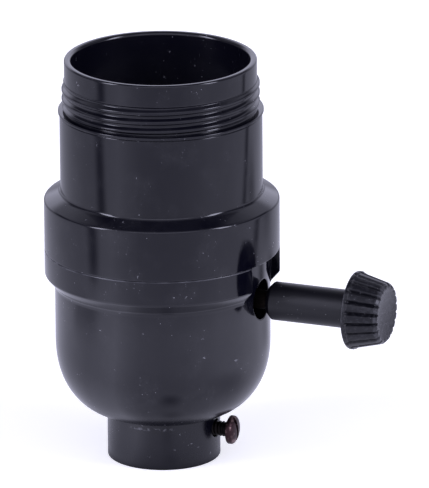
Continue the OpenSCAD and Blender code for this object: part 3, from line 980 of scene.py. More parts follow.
def helical_thread() -> Pattern:
    """A right-hand thread raised on a cylinder's wall, which fades out at both ends.

    Its ridge rises from Foot to Crown and falls from Edge to Heel, all shares of the pitch.

    Returns:
        The tree.
    """
    lengths = {
        "Root": 0.016, "Depth": 0.0005, "Sink": 0.0, "Pitch": 0.0016, "Start": 0.0,
        "Low": 0.0, "High": 0.01, "Fade": 0.001,
    }
    shares = {"Foot": 0.08, "Crown": 0.4, "Edge": 0.6, "Heel": 0.92}
    p = Pattern("helical_thread", {**lengths, **shares})
    root, depth, sink, pitch, start, low, high, fade = (p.given(name) for name in lengths)
    foot, crown, edge, heel = (p.given(name) for name in shares)
    radius, turn, height = p.polar()
    phase = ((height - start) / pitch - turn).fraction()
    ridge = phase.step(foot, crown) * phase.step(heel, edge) * (depth + sink) - sink
    on_wall = (radius - root).abs().step(2e-5, 1e-5)
    p.close(p.push_out(ridge * height.between(low, high, fade) * on_wall))
    return p


def fluted_head() -> Pattern:
    """Grooves cut evenly round a head, from a lip at its back to its front.

    Returns:
        The tree.
    """
    sizes = {
        "Count": 20.0, "Depth": 0.0005, "Width": 0.3, "Turn": 0.3,
        "Low": 0.0, "High": 0.01, "Core": 0.004,
    }
    p = Pattern("fluted_head", sizes)
    grooves, depth, width, shift, low, high, core = (p.given(name) for name in sizes)
    radius, turn, height = p.polar()
    phase = (turn * grooves - shift + 0.5).fraction()
    groove = (phase * 2.0 - 1.0).abs().step(width, 0.0)
    reach = height.step(low, low + 0.35 * MM) * radius.step(core, core + 0.5 * MM)
    ahead = height.step(high + 1.0 * MM, high)
    p.close(p.push_out(groove * reach * ahead * depth * -1.0))
    return p


def scattered_copies() -> Pattern:
    """Copies of the part in its Object Info node, one on each point of a frame of points.

    Returns:
        The tree.
    """
    p = Pattern("scattered_copies", {"Scale": 1.0})
    part = p.node("GeometryNodeObjectInfo", {"transform_space": "ORIGINAL"}, output="Geometry")
    scale = p.node("ShaderNodeCombineXYZ", None, {i: p.given("Scale") for i in range(3)})
    values = {"Points": p.given("Geometry"), "Instance": part, "Scale": scale}
    p.close(p.node("GeometryNodeInstanceOnPoints", None, values))
    return p


class Workshop:
    """What the sub-assemblies share: finishes, patterns, and how a piece joins the frame."""

    def __init__(self) -> None:
        """Builds the patterns once."""
        self.wardrobe = Wardrobe()
        self.thread = helical_thread()
        self.flutes = fluted_head()
        self.copies = scattered_copies()

    def turned(self, name: str, outline: Outline, segments: int, slot: str) -> bpy.types.Object:
        """Turns a piece about the z axis.

        Args:
            name: Its name.
            outline: Radius and height of each point, as Solid.turn takes them.
            segments: Sides of each circle.
            slot: The slot of its finish.

        Returns:
            The piece.
        """
        solid = Solid()
        solid.turn(outline, segments)
        return solid.object(name, self.wardrobe.material(slot))

    def raise_thread(
        self, piece: bpy.types.Object, ridge: tuple[float, float, float, float], **sizes: float
    ) -> None:
        """Raises a thread on a turned piece.

        Args:
            piece: The piece.
            ridge: Foot, crown, edge and heel of its ridge, as shares of the pitch.
            **sizes: The tree's lengths, in millimetres.
        """
        lengths = {key: value * MM for key, value in sizes.items()}
        self.thread.run(piece, **lengths, **dict(zip(("Foot", "Crown", "Edge", "Heel"), ridge)))

    def fit(self, piece: bpy.types.Object, node: str, body: str) -> bpy.types.Object:
        """Puts a piece in its node's place.

        Args:
            piece: The piece.
            node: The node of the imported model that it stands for.
            body: The body that it moves with.

        Returns:
            The piece.
        """
        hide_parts(node)
        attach(piece, body)
        LOG.info("%s: %d faces, for %s", piece.name, len(piece.data.polygons), node)
        return piece

    def copies_at(
        self, name: str, part: Solid, spots: Sequence[Spot], slot: str
    ) -> bpy.types.Object:
        """Copies one small part to several places, in one piece.

        Args:
            name: The piece's name.
            part: The part, about the origin.
            spots: The places, in millimetres.
            slot: The slot of its finish.

        Returns:
            The piece.
        """
        material = self.wardrobe.material(slot)
        single = part.object(name + "_part", material)
        points = Solid()
        points.add(spots, [])
        piece = points.object(name, material)
        self.copies.tree.nodes["Object Info"].inputs["Object"].default_value = single
        self.copies.run(piece, Scale=1.0)
        bpy.data.objects.remove(single)
        smooth(piece.data, 40.0)
        return piece


@dataclass
class Shell:
    """The upper casing: mouth, shade-ring thread, shoulder and band."""

    seam_z: float = 36.8
    shoulder_z: float = 45.5
    shoulder_rise: float = 1.3
    band_r: float = 19.85
    wall_r: float = 17.05
    mouth_r: float = 14.975
    mouth_low_z: float = 59.45
    top_z: float = 69.85
    collar_r: float = 16.2
    thread_r: float = 16.65
    thread_pitch: float = 1.6
    thread_low_z: float = 61.15
    thread_high_z: float = 65.95
    bead_r: float = 17.3
    bead_low_z: float = 60.72
    thread_start_z: float = 59.83
    seat_r: float = 17.0
    guard_r: float = 14.2
    floor_z: float = 42.0
    floor_t: float = 2.0
    floor_hole_r: float = 7.0
    segments: int = 288

    def outline(self) -> Outline:
        """The casing's section, with close points where the thread will be.

        Returns:
            Radius and height of each point.
        """
        corners = [
            (self.seat_r, self.seam_z, 0.1),
            (self.band_r, self.seam_z, 0.18),
            (self.band_r, self.shoulder_z, 0.5),
            (self.wall_r, self.shoulder_z + self.shoulder_rise, 0.7),
            (self.wall_r, self.bead_low_z - 0.34, 0.04),
            (self.wall_r - 0.12, self.bead_low_z - 0.16, 0.04),
            (self.bead_r, self.bead_low_z, 0.08),
            (self.bead_r, self.thread_low_z - 0.05, 0.16),
            (self.collar_r, self.thread_low_z + 0.05, 0.1),
            (self.collar_r, self.top_z, 0.35),
            (self.mouth_r, self.top_z, 0.65),
            (self.mouth_r, self.mouth_low_z, 0.2),
            (self.guard_r, self.mouth_low_z - 0.4, 0.15),
            (self.guard_r, self.floor_z, 0.1),
            (self.floor_hole_r, self.floor_z),
            (self.floor_hole_r, self.floor_z - self.floor_t),
            (self.seat_r, self.floor_z - self.floor_t),
        ]
        thread_end_z = self.thread_high_z + 1.0
        return filled(rounded(corners, 8), self.thread_low_z, thread_end_z, 0.05, self.collar_r)

    def build(self, shop: Workshop) -> bpy.types.Object:
        """Turns the casing and raises its thread.

        Args:
            shop: What the pieces share.

        Returns:
            The piece.
        """
        outline = self.outline()
        piece = shop.turned("shell_moulding", outline, self.segments, "black_phenolic")
        shop.raise_thread(
            piece, (0.12, 0.42, 0.56, 0.96), Root=self.collar_r,
            Depth=self.thread_r - self.collar_r, Sink=0.16,
            Pitch=self.thread_pitch, Start=self.thread_start_z,
            Low=self.thread_low_z + 0.15, High=self.thread_high_z + 0.35, Fade=0.5,
        )
        smooth(piece.data, 50.0)
        return shop.fit(piece, "outer_shell", "casing")


@dataclass(frozen=True)
class RoundHole:
    """A round hole through the cap's wall, towards the knob.

    Attributes:
        height: Height of its centre.
        radius: Its radius.
        outer_r: Radius of the wall outside.
        inner_r: Radius of the wall inside.
        span: Heights between which it takes rows of the cap's section.
        edge: Radius of its outer edge.
    """

    height: float
    radius: float
    outer_r: float
    inner_r: float
    span: tuple[float, float]
    edge: float = 0.14

    def sides(self, section: Outline) -> tuple[list[int], list[int]]:
        """Finds the rows that it takes.

        Args:
            section: Radius and height of each row.

        Returns:
            Those outside, going up, and those inside, going down.
        """
        low, high = self.span
        rows = [(i, radius) for i, (radius, height) in enumerate(section) if low < height < high]
        outside = [i for i, radius in rows if radius >= self.outer_r - SAME]
        return outside, [i for i, radius in rows if abs(radius - self.inner_r) < SAME]

    def bore(
        self, corners: list[Spot], faces: list[Face], section: Outline, width: int, columns: range
    ) -> None:
        """Fills the cells that it takes with the hole and what is left of the wall.

        Args:
            corners: Corners of the grid, which the hole's are added to.
            faces: Faces of the grid, likewise.
            section: Radius and height of each row.
            width: Corners in a row.
            columns: Columns that the hole takes.
        """
        outside, inside = self.sides(section)

        def border(side: Sequence[int]) -> list[int]:
            """Finds the corners round the cells, anticlockwise as seen from outside.

            Args:
                side: The cells' rows, going up.

            Returns:
                Numbers of the corners.
            """
            left, right = columns.start, columns.stop
            return [
                *[side[0] * width + j for j in range(left, right)],
                *[i * width + right for i in side[:-1]],
                *[side[-1] * width + j for j in range(right, left, -1)],
                *[i * width + left for i in side[:0:-1]],
            ]

        outer, inner = border(outside), border(inside[::-1])
        angles = [math.atan2(corners[i][2] - self.height, corners[i][1]) for i in outer]

        def ring(
            around: list[int], wall_r: float, size: float, share: float = 0.0, sink: float = 0.0
        ) -> list[int]:
            """Adds a ring between the hole's edge and the border.

            Args:
                around: Corners of the border.
                wall_r: Radius of the wall.
                size: Radius of the hole's edge.
                share: Share of the way from that edge to the border.
                sink: Depth under the wall.

            Returns:
                Numbers of its corners.
            """
            first = len(corners)
            for angle, index in zip(angles, around):
                y, z = size * math.cos(angle), self.height + size * math.sin(angle)
                y += (corners[index][1] - y) * share
                z += (corners[index][2] - z) * share
                corners.append((math.sqrt(max(wall_r**2 - y * y, 0.0)) - sink, y, z))
            return list(range(first, len(corners)))

        wide = self.radius + self.edge
        layers = [outer]
        layers += [ring(outer, self.outer_r, wide, share) for share in (0.55, 0.25, 0.08, 0.0)]
        for degrees in (30, 60, 90):
            bend = math.radians(degrees)
            size = self.radius + self.edge * (1 - math.sin(bend))
            sink = self.edge * (1 - math.cos(bend))
            layers.append(ring(outer, self.outer_r, size, sink=sink))
        layers.append(ring(outer, self.outer_r, self.radius, sink=self.edge + 0.15))
        layers.append(ring(inner, self.inner_r, self.radius, sink=-0.15))
        layers += [ring(inner, self.inner_r, self.radius, share) for share in (0.0, 0.1, 0.4)]
        layers.append(inner)
        for first, second in zip(layers, layers[1:]):
            for a in range(len(outer)):
                b = (a + 1) % len(outer)
                faces.append((first[a], first[b], second[b], second[a]))


@dataclass
class Cap:
    """The lower casing: band with its notch, dome, neck and the holes for stem and set screw."""

    seam_z: float = 36.8
    band_low_z: float = 32.5
    slope_low_z: float = 30.55
    slope_foot: float = 1.2
    band_r: float = 19.85
    dome_r: float = 18.175
    dome_start_z: float = 21.2
    curve_w: float = 11.7
    curve_h: float = 13.5
    curve_power: float = 0.87
    wall: float = 1.8
    neck_r: float = 9.55
    neck_top_z: float = 7.65
    bore_r: float = 7.05
    floor_z: float = 9.5
    seat_r: float = 17.0
    seat_z: float = 35.0
    notch_half: float = 6.0
    notch_round: float = 0.22
    knob_z: float = 29.4
    stem_hole_r: float = 3.45
    stem_span: tuple[float, float] = (24.8, 34.0)
    screw_z: float = 5.5
    screw_hole_r: float = 1.6
    screw_span: tuple[float, float] = (2.9, 7.62)
    boss_y: float = 9.4
    boss_r: float = 2.7
    boss_low_z: float = 10.4
    boss_hole_r: float = 1.9
    boss_hole_low_z: float = 26.9
    column_deg: float = 1.5
    notch_deg: float = 16.5
    far_deg: float = 21.5

    def _curve(self, inset: float, least_r: float) -> Outline:
        """The dome's curve from its rim to near the neck.

        Args:
            inset: How far it lies inside the outer face.
            least_r: Radius at which it ends.

        Returns:
            Radius and height of each point.
        """
        width, height = self.curve_w - inset, self.curve_h - inset
        made = []
        for i in range(41):
            angle = math.radians(90 * i / 40)
            r = self.dome_r - self.curve_w + width * math.cos(angle) ** self.curve_power
            z = self.dome_start_z - height * math.sin(angle) ** self.curve_power
            if r > least_r:
                made.append((r, z))
        return made

    def _rows(self) -> Outline:
        """The section, from the foot of the bore up the outside and down the inside.

        Returns:
            Radius and height of each row of points.
        """
        neck_heights = [0.9, 1.6, 2.3, *np.linspace(3.0, 7.6, 16)]
        stem_heights = [22.6, 23.8, *np.linspace(24.9, 33.9, 19)]
        foot = [(self.bore_r, 0.0, 0.1), (self.neck_r, 0.0, 0.2), (self.neck_r, 1.0, 0.0)]
        rows = rounded(foot, 6, False)[:-1] + [(self.neck_r, z) for z in neck_heights]
        dome = self._curve(0.0, self.neck_r + 0.1)[::-1]
        top_z = dome[0][1] - 0.06
        junction = [(self.neck_r, self.neck_top_z), (self.neck_r, top_z, 0.12), dome[1]]
        rows += rounded(junction, 4, False)[:-1] + dome[1:]
        corners = [
            (self.dome_r, self.slope_low_z - self.slope_foot),
            (self.dome_r, self.slope_low_z, self.slope_foot),
            (self.band_r, self.band_low_z, 0.5),
            (self.band_r, self.seam_z, 0.18),
            (self.seat_r, self.seam_z, 0.1),
            (self.seat_r, self.seat_z, 0.05),
        ]
        slope = rounded(corners, 6, False)[:-1]
        rows += [(self.dome_r, z) for z in stem_heights if z < slope[0][1] - 0.15]
        for here, after in zip(slope, slope[1:]):
            rows.append(here)
            if abs(here[0] - self.band_r) < 1e-3 and after[1] - here[1] > 1.0:
                low, high = here[1] + 0.1, after[1] - 0.1
                rows += [(self.band_r, z) for z in stem_heights if low < z < high]
        rows += [slope[-1], (self.seat_r, self.seat_z)]
        low, high = self.stem_span
        outside = [z for r, z in rows if r >= self.dome_r - SAME and low < z < high]
        inner_r = self.dome_r - self.wall
        rows += [(inner_r, z) for z in (self.seat_z, *outside[::-1])]
        rows += self._curve(self.wall, self.bore_r + 1.5)
        rows += [(self.bore_r + 1.1, self.floor_z), (self.bore_r, self.floor_z)]
        neck = [z for r, z in rows if abs(r - self.neck_r) < SAME and 0.8 < z < self.screw_span[1]]
        return rows + [(self.bore_r, z) for z in neck[::-1]]

    def _angles(self) -> tuple[list[float], list[float]]:
        """Angles of the columns, in degrees.

        Returns:
            Those of the plain columns, and those inside the notch.
        """
        plain_count = round((360 - 2 * self.far_deg) / self.column_deg)
        inner_count = 2 * round(self.notch_deg / self.column_deg)
        plain = np.linspace(self.far_deg, 360 - self.far_deg, plain_count + 1)
        return list(plain), list(np.linspace(-self.notch_deg, self.notch_deg, inner_count + 1))

    def _wall(self, radius: float, notched: bool, steps: int = 4) -> Outline:
        """The notch's side wall at one height, from the band in to the notch's floor.

        Args:
            radius: The casing's radius at that height.
            notched: Whether the notch cuts this row.
            steps: Sides of each of its rounded corners.

        Returns:
            Points in plan, for the side on positive y.
        """
        outer_x, inner_x = (math.sqrt(r**2 - self.notch_half**2) for r in (radius, self.dome_r))
        depth = outer_x - inner_x if notched else 0.0
        if depth < 0.05:
            spread = np.linspace(self.far_deg, self.notch_deg, 2 * (steps + 1) + 4)[1:-1]
            return [plan(radius, degrees) for degrees in spread]
        bend = min(self.notch_round, depth * 0.4)
        start, end = plan(radius, self.far_deg), plan(self.dome_r, self.notch_deg)
        corners = [start, (outer_x, self.notch_half, bend), (inner_x, self.notch_half, bend), end]
        line = rounded(corners, steps, False, 0.0)[1:-1]
        before = ((line[0][0] + start[0]) / 2, (line[0][1] + start[1]) / 2)
        last_deg = math.degrees(math.atan2(line[-1][1], line[-1][0]))
        return [before, *line, plan(self.dome_r, (last_deg + self.notch_deg) / 2)]

    def _ring(self, radius: float, notched: bool) -> Outline:
        """All points of one row, anticlockwise from the notch's edge on positive y.

        Args:
            radius: The casing's radius at that height.
            notched: Whether the notch cuts this row.

        Returns:
            Points in plan.
        """
        plain, inner = self._angles()
        side = self._wall(radius, notched)
        floor_r = self.dome_r if notched else radius
        around, floor = [plan(radius, d) for d in plain], [plan(floor_r, d) for d in inner]
        return [*around, *[(x, -y) for x, y in side], *floor, *side[::-1]]

    def build(self, shop: Workshop) -> bpy.types.Object:
        """Builds the cap from rows of points, with its two holes and its bosses.

        Args:
            shop: What the pieces share.

        Returns:
            The piece.
        """
        rows = self._rows()
        grid = []
        for radius, z in rows:
            notched = radius > self.dome_r + 1e-4
            grid.append([(x, y, z) for x, y in self._ring(radius, notched)])
        width = len(grid[0])
        plain, inner = self._angles()
        centre = len(plain) + (width - len(plain) - len(inner)) // 2 + len(inner) // 2
        reach = len(inner) // 2 - 1
        columns = range(centre - reach, centre + reach)
        inner_r = self.dome_r - self.wall
        holes = [
            RoundHole(self.knob_z, self.stem_hole_r, self.dome_r, inner_r, self.stem_span),
            RoundHole(self.screw_z, self.screw_hole_r, self.neck_r, self.bore_r, self.screw_span),
        ]
        taken = [i for hole in holes for side in hole.sides(rows) for i in side[:-1]]
        skipped = {i * width + j for i in taken for j in columns}
        corners = [spot for row in grid for spot in row]
        faces = [face for face in woven(len(rows), len(rows), width) if face[0] not in skipped]
        for hole in holes:
            hole.bore(corners, faces, rows, width, columns)
        solid = Solid()
        solid.add(corners, faces)
        boss = [
            (0.0, self.boss_low_z), (self.boss_r, self.boss_low_z), (self.boss_r, self.seat_z),
            (self.boss_hole_r, self.seat_z), (self.boss_hole_r, self.boss_hole_low_z),
            (0.0, self.boss_hole_low_z),
        ]
        for side in (-1, 1):
            solid.turn(boss, 40, at=(0.0, side * self.boss_y, 0.0))
        piece = solid.object("cap_moulding", shop.wardrobe.material("black_phenolic"), 50.0)
        return shop.fit(piece, "cap", "casing")


@dataclass
class Knob:
    """The moulded knob: a long stem with a chamfered end, a lip, and a fluted head."""

    axis_z: float = 29.4
    stem_x: float = 19.525
    stem_r: float = 3.25
    stem_bevel: float = 0.8
    hole_r: float = 2.35
    hole_end_x: float = 34.12
    head_x: float = 34.6
    lip_r: float = 6.6
    lip_t: float = 0.9
    body_r: float = 6.35
    front_x: float = 40.5
    front_r: float = 5.2
    dish: float = 0.38
    rib_count: int = 20
    groove_depth: float = 0.55
    segments: int = 400

    def build(self, shop: Workshop) -> bpy.types.Object:
        """Turns the knob upright, cuts its flutes, and lays it along its axis.

        Args:
            shop: What the pieces share.

        Returns:
            The piece.
        """
        corners = [
            (0.0, self.hole_end_x),
            (self.hole_r, self.hole_end_x, 0.1),
            (self.hole_r, self.stem_x, 0.1),
            (self.stem_r - self.stem_bevel, self.stem_x, 0.12),
            (self.stem_r, self.stem_x + self.stem_bevel, 0.25),
            (self.stem_r, self.head_x, 0.35),
            (self.lip_r, self.head_x, 0.25),
            (self.lip_r, self.head_x + self.lip_t - 0.15, 0.12),
            (self.body_r, self.head_x + self.lip_t, 0.08),
            (self.front_r, self.front_x - 0.45, 0.3),
            (self.front_r - 0.4, self.front_x, 0.2),
            *self._face(),
        ]
        outline = self._closer(rounded(corners, 5, False))
        piece = shop.turned("knob_moulding", outline, self.segments, "knob_phenolic")
        shop.flutes.run(
            piece, Count=self.rib_count, Depth=self.groove_depth * MM, Width=0.46, Turn=0.3,
            Low=(self.head_x + self.lip_t - 0.45) * MM, High=self.front_x * MM,
            Core=(self.front_r - 0.9) * MM,
        )
        rise = self.axis_z * MM
        lay = Matrix(((0, 0, 1, 0), (1, 0, 0, 0), (0, 1, 0, rise), (0, 0, 0, 1)))
        piece.data.transform(lay)
        smooth(piece.data, 55.0)
        return shop.fit(piece, "knob", "knob_and_rotor")

    def _face(self) -> Outline:
        """The face, which is slightly dished inside its rim."""
        edge, shares = self.front_r - 0.7, [1.0 - k / 10 for k in range(11)]
        return [(edge * t, self.front_x - self.dish * (1.0 - t * t)) for t in shares]

    def _closer(self, outline: Outline) -> Outline:
        """Adds points along the head's side and face, where the flutes bend it.

        Args:
            outline: The knob's outline.

        Returns:
            The outline with those points.
        """
        made: Outline = []
        for here, after in zip(outline, outline[1:]):
            made.append(here)
            on_head = min(here[1], after[1]) > self.head_x + 0.5 and here[0] > 3.0
            gap = math.dist(here, after)
            if on_head and gap > 0.3:
                steps = int(gap / 0.2)
                for k in range(1, steps):
                    made.append(tuple(a + (b - a) * k / steps for a, b in zip(here, after)))
        return [*made, outline[-1]]


@dataclass
class SlottedScrew:
    """A round-head screw that points down, its head standing on height 0.

    Attributes:
        shank_r: Radius of the shank.
        head_r: Radius of the head.
        head_h: Height of the head.
        length: Length under the head.
        pitch: Pitch of the thread.
        slot_w: Width of the slot.
        depth: Depth of the thread.
    """

    shank_r: float
    head_r: float
    head_h: float
    length: float
    pitch: float = 0.6
    slot_w: float = 0.7
    depth: float = 0.16

    def build(self, name: str, shop: Workshop, slot: str) -> bpy.types.Object:
        """Turns the screw, cuts its slot and raises its thread.

        Args:
            name: The piece's name.
            shop: What the pieces share.
            slot: The slot of its finish.

        Returns:
            The piece, about the origin.
        """
        dome = []
        for degrees in range(0, 90, 6):
            across, rise = plan(1.0, degrees)
            dome.append((self.head_r * across, self.head_h * (0.35 + 0.65 * rise)))
        dome.append((0.0, self.head_h))
        root, tip, gap = self.shank_r - self.depth, 0.2 - self.length, 0.05
        shank = [(0.0, -self.length), (root - 0.2, -self.length)]
        shank += [(root, tip + gap * k) for k in range(int((self.length - 0.3) / gap))]
        collar = [(root, -0.1), (root, 0.0, 0.05), (self.head_r, 0.0, 0.12), dome[1]]
        outline = shank + rounded(collar, 4, False)[1:-1] + dome[1:]
        piece = shop.turned(name, outline, 72, slot)
        shop.raise_thread(
            piece, (0.05, 0.46, 0.54, 0.95), Root=root, Depth=self.depth, Pitch=self.pitch,
            Low=-self.length, High=-0.2, Fade=0.5,
        )
        tool = Solid()
        reach, half = self.head_r + 1, self.slot_w / 2
        tool.box((-reach, -half, self.head_h * 0.5), (reach, half, self.head_h + 1))
        return cut(piece, tool)


@dataclass
class SetScrew:
    """The set screw in the neck, standing backed off."""

    head_x: float = 12.05
    axis_z: float = 5.5
    slot_deg: float = 12.0

    def build(self, shop: Workshop) -> bpy.types.Object:
        """Makes the screw and lays it in the neck with its slot nearly upright.

        Args:
            shop: What the pieces share.

        Returns:
            The piece.
        """
        screw = SlottedScrew(shank_r=1.3, head_r=2.45, head_h=1.4, length=7.2)
        piece = screw.build("set_screw_turned", shop, "bronzed_steel")
        turned = Matrix.Rotation(math.radians(self.slot_deg), 4, "Z")
        lay = Matrix.Rotation(math.radians(90), 4, "Y")
        place = Matrix.Translation((self.head_x * MM, 0, self.axis_z * MM))
        piece.data.transform(place @ lay @ turned)
        return shop.fit(piece, "set_screw", "set_screw")


@dataclass
class LampShell:
    """The rolled sheet shell that takes the lamp, with its flange pierced for its fastenings."""

    root_r: float = 13.3
    sheet: float = 0.4
    depth: float = 0.8
    pitch: float = 3.629
    floor_z: float = 42.0
    flange_r: float = 7.7
    top_z: float = 59.0
    case_screw_y: float = 9.4
    case_screw_hole_r: float = 2.5
    rivet_x: float = 7.9
    rivet_y: float = 4.8
    rivet_hole_r: float = 0.85
    strap_low: tuple[float, float] = (-9.65, 2.05)
    strap_high: tuple[float, float] = (-8.85, 6.55)
    segments: int = 192

    def build(self, shop: Workshop) -> bpy.types.Object:
        """Turns the shell, rolls its thread, and pierces its flange.

        Args:
            shop: What the pieces share.

        Returns:
            The piece.
        """
        low = self.floor_z + self.sheet
        neck, end = self.root_r - self.depth, self.root_r + self.sheet
        corners = [
            (self.flange_r, self.floor_z), (neck + self.sheet, self.floor_z, 0.5),
            (neck + self.sheet, self.top_z - 0.6, 0.3), (end, self.top_z - 0.2, 0.1),
            (end - 0.05, self.top_z, 0.1), (self.root_r - 0.1, self.top_z, 0.1),
            (neck, self.top_z - 0.75, 0.3), (neck, low, 0.2), (self.flange_r, low),
        ]
        outline = rounded(corners, 5)
        for root in (neck + self.sheet, neck):
            outline = filled(outline, low, self.top_z - 0.8, 0.12, root)
        piece = shop.turned("rolled_lamp_shell", outline, self.segments, "aluminium")
        for root in (neck, neck + self.sheet):
            shop.raise_thread(
                piece, (0.0, 0.5, 0.5, 1.0), Root=root, Depth=self.depth, Pitch=self.pitch,
                Low=low + 0.3, High=self.top_z - 0.7, Fade=1.2,
            )
        tool = Solid()
        under, over = self.floor_z - 1, low + 1
        for side in (-1, 1):
            screw_at = (0.0, self.case_screw_y * side, 0.0)
            tool.rod(self.case_screw_hole_r, under, over, 48, at=screw_at)
            rivet_at = (self.rivet_x * side, -self.rivet_y * side, 0.0)
            tool.rod(self.rivet_hole_r, under, over, 24, at=rivet_at)
        tool.box((*self.strap_low, under), (*self.strap_high, low + 0.6))
        cut(piece, tool)
        return shop.fit(piece, "screw_shell", "casing")


@dataclass
class ContactLeaf:
    """The springy brass leaf that meets the lamp's tip."""

    root_z: float = 42.2
    rivet_x: float = 4.6
    rivet_hole_r: float = 1.15
    root_len: float = 2.2
    tip_x: float = -2.0
    tip_z: float = 45.0
    thickness: float = 0.45
    half_width: float = 2.3

    def build(self, shop: Workshop) -> bpy.types.Object:
        """Bends the leaf to one fixed shape; the real leaf flattens as the lamp presses it.

        Args:
            shop: What the pieces share.

        Returns:
            The piece.
        """
        corners = [
            (self.rivet_x + self.root_len, self.root_z),
            (self.rivet_x - self.root_len, self.root_z, 1.6),
            (self.tip_x + 0.6, self.tip_z - 0.32, 1.2),
            (self.tip_x - 0.7, self.tip_z - 0.12, 0.9),
            (self.tip_x - 1.55, self.tip_z - 0.7),
        ]
        solid, tool = Solid(), Solid()
        solid.strip(rounded(corners, 8, False, 0.3), self.thickness, self.half_width)
        piece = solid.object("contact_leaf", shop.wardrobe.material("brass"))
        low, high = self.root_z - 2.2, self.root_z + 1.8
        tool.rod(self.rivet_hole_r, low, high, 32, at=(self.rivet_x, 0.0, 0.0))
        cut(piece, tool)
        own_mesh(piece)
        return shop.fit(piece, "centre_contact", "casing")


@dataclass
class PipeBushing:
    """The brass bushing in the neck, tapped for a lamp pipe."""

    outer_r: float = 7.0
    bore_r: float = 4.6
    thread_depth: float = 0.45
    pitch: float = 0.94
    flange_r: float = 8.0
    flange_low_z: float = 9.5
    top_z: float = 10.3
    screw_z: float = 5.5
    screw_hole_r: float = 1.35

    def build(self, shop: Workshop) -> bpy.types.Object:
        """Turns the bushing, cuts its thread, and bores it for the set screw.

        Args:
            shop: What the pieces share.

        Returns:
            The piece.
        """
        root = self.bore_r + self.thread_depth
        corners = [
            (root, 0.0, 0.1), (self.outer_r, 0.0, 0.15), (self.outer_r, self.flange_low_z, 0.05),
            (self.flange_r, self.flange_low_z, 0.1), (self.flange_r, self.top_z, 0.12),
            (root, self.top_z, 0.1),
        ]
        outline = filled(rounded(corners, 4), 0.1, self.top_z - 0.1, 0.08, root)
        piece = shop.turned("pipe_bushing", outline, 128, "brass")
        shop.raise_thread(
            piece, (0.05, 0.46, 0.54, 0.95), Root=root, Depth=-self.thread_depth,
            Pitch=self.pitch, Low=0.15, High=self.top_z - 0.15, Fade=0.6,
        )
        tool = Solid()
        tool.rod(self.screw_hole_r, 2.0, 8.5, 32, Axis.KNOB, (0.0, 0.0, self.screw_z))
        cut(piece, tool)
        return shop.fit(piece, "neck_bushing", "casing")


@dataclass
class CaseScrews:
    """The two long screws that clamp the casing, one piece in two places."""

    screw_y: float = 9.4
    floor_z: float = 42.0

    def build(self, shop: Workshop) -> bpy.types.Object:
        """Makes one screw and copies it to both places.

        Args:
            shop: What the pieces share.

        Returns:
            The piece.
        """
        screw = SlottedScrew(shank_r=1.25, head_r=2.2, head_h=1.5, length=14.4, pitch=0.5)
        single = screw.build("case_screw_part", shop, "steel")
        corners = [tuple(v.co / MM) for v in single.data.vertices]
        part = Solid()
        part.add(corners, [tuple(p.vertices) for p in single.data.polygons])
        bpy.data.objects.remove(single)
        spots = [(0.0, side * self.screw_y, self.floor_z) for side in (-1, 1)]
        piece = shop.copies_at("case_screws_turned", part, spots, "steel")
        return shop.fit(piece, "case_screws", "casing")


@dataclass(frozen=True)
class Eye:
    """The camera, where the photograph was taken from.

    Attributes:
        distance: From the aimed point, in metres.
        aim_z: Height of the aimed point.
        azimuth: Degrees round from the front.
        elevation: Degrees above the horizon.
        yaw: Degrees that the view is turned after aiming.
        pitch: Degrees that it is then tipped.
        roll: Degrees that it is then rolled.
        focal_px: Focal length in pixels of the frame's width.
        frame_px: Width of the frame in pixels.
        sensor: Width of the sensor in millimetres.
    """

    distance: float = 1.71828
    aim_z: float = 0.036
    azimuth: float = 22.155
    elevation: float = 18.03
    yaw: float = -0.2942
    pitch: float = 0.0319
    roll: float = 0.5674
    focal_px: float = 10191.6
    frame_px: float = 429.0
    sensor: float = 36.0

    def place(self) -> None:
        """Makes the scene's camera."""
        e = math.radians(self.elevation)
        spin = Matrix.Rotation(math.radians(self.azimuth), 3, "Z")
        spot = spin @ Vector((0.0, -self.distance * math.cos(e), self.distance * math.sin(e)))
        spot.z += self.aim_z
        ahead = (Vector((0.0, 0.0, self.aim_z)) - spot).normalized()
        right = ahead.cross(Vector((0, 0, 1))).normalized()
        up = right.cross(ahead)
        turn = Matrix.Rotation(math.radians(self.yaw), 3, up)
        ahead, right = turn @ ahead, turn @ right
        turn = Matrix.Rotation(math.radians(self.pitch), 3, right)
        ahead, up = turn @ ahead, turn @ up
        turn = Matrix.Rotation(math.radians(self.roll), 3, ahead)
        right, up = turn @ right, turn @ up
        data = bpy.data.cameras.new("photo_camera")
        data.sensor_fit, data.sensor_width = "HORIZONTAL", self.sensor
        data.lens = self.focal_px / self.frame_px * self.sensor
        data.clip_start, data.clip_end = 0.1, 50.0
        camera = bpy.data.objects.new("photo_camera", data)
        matrix = Matrix((right, up, -ahead)).transposed().to_4x4()
        matrix.translation = spot
        camera.matrix_world = matrix
        bpy.context.scene.collection.objects.link(camera)
        bpy.context.scene.camera = camera


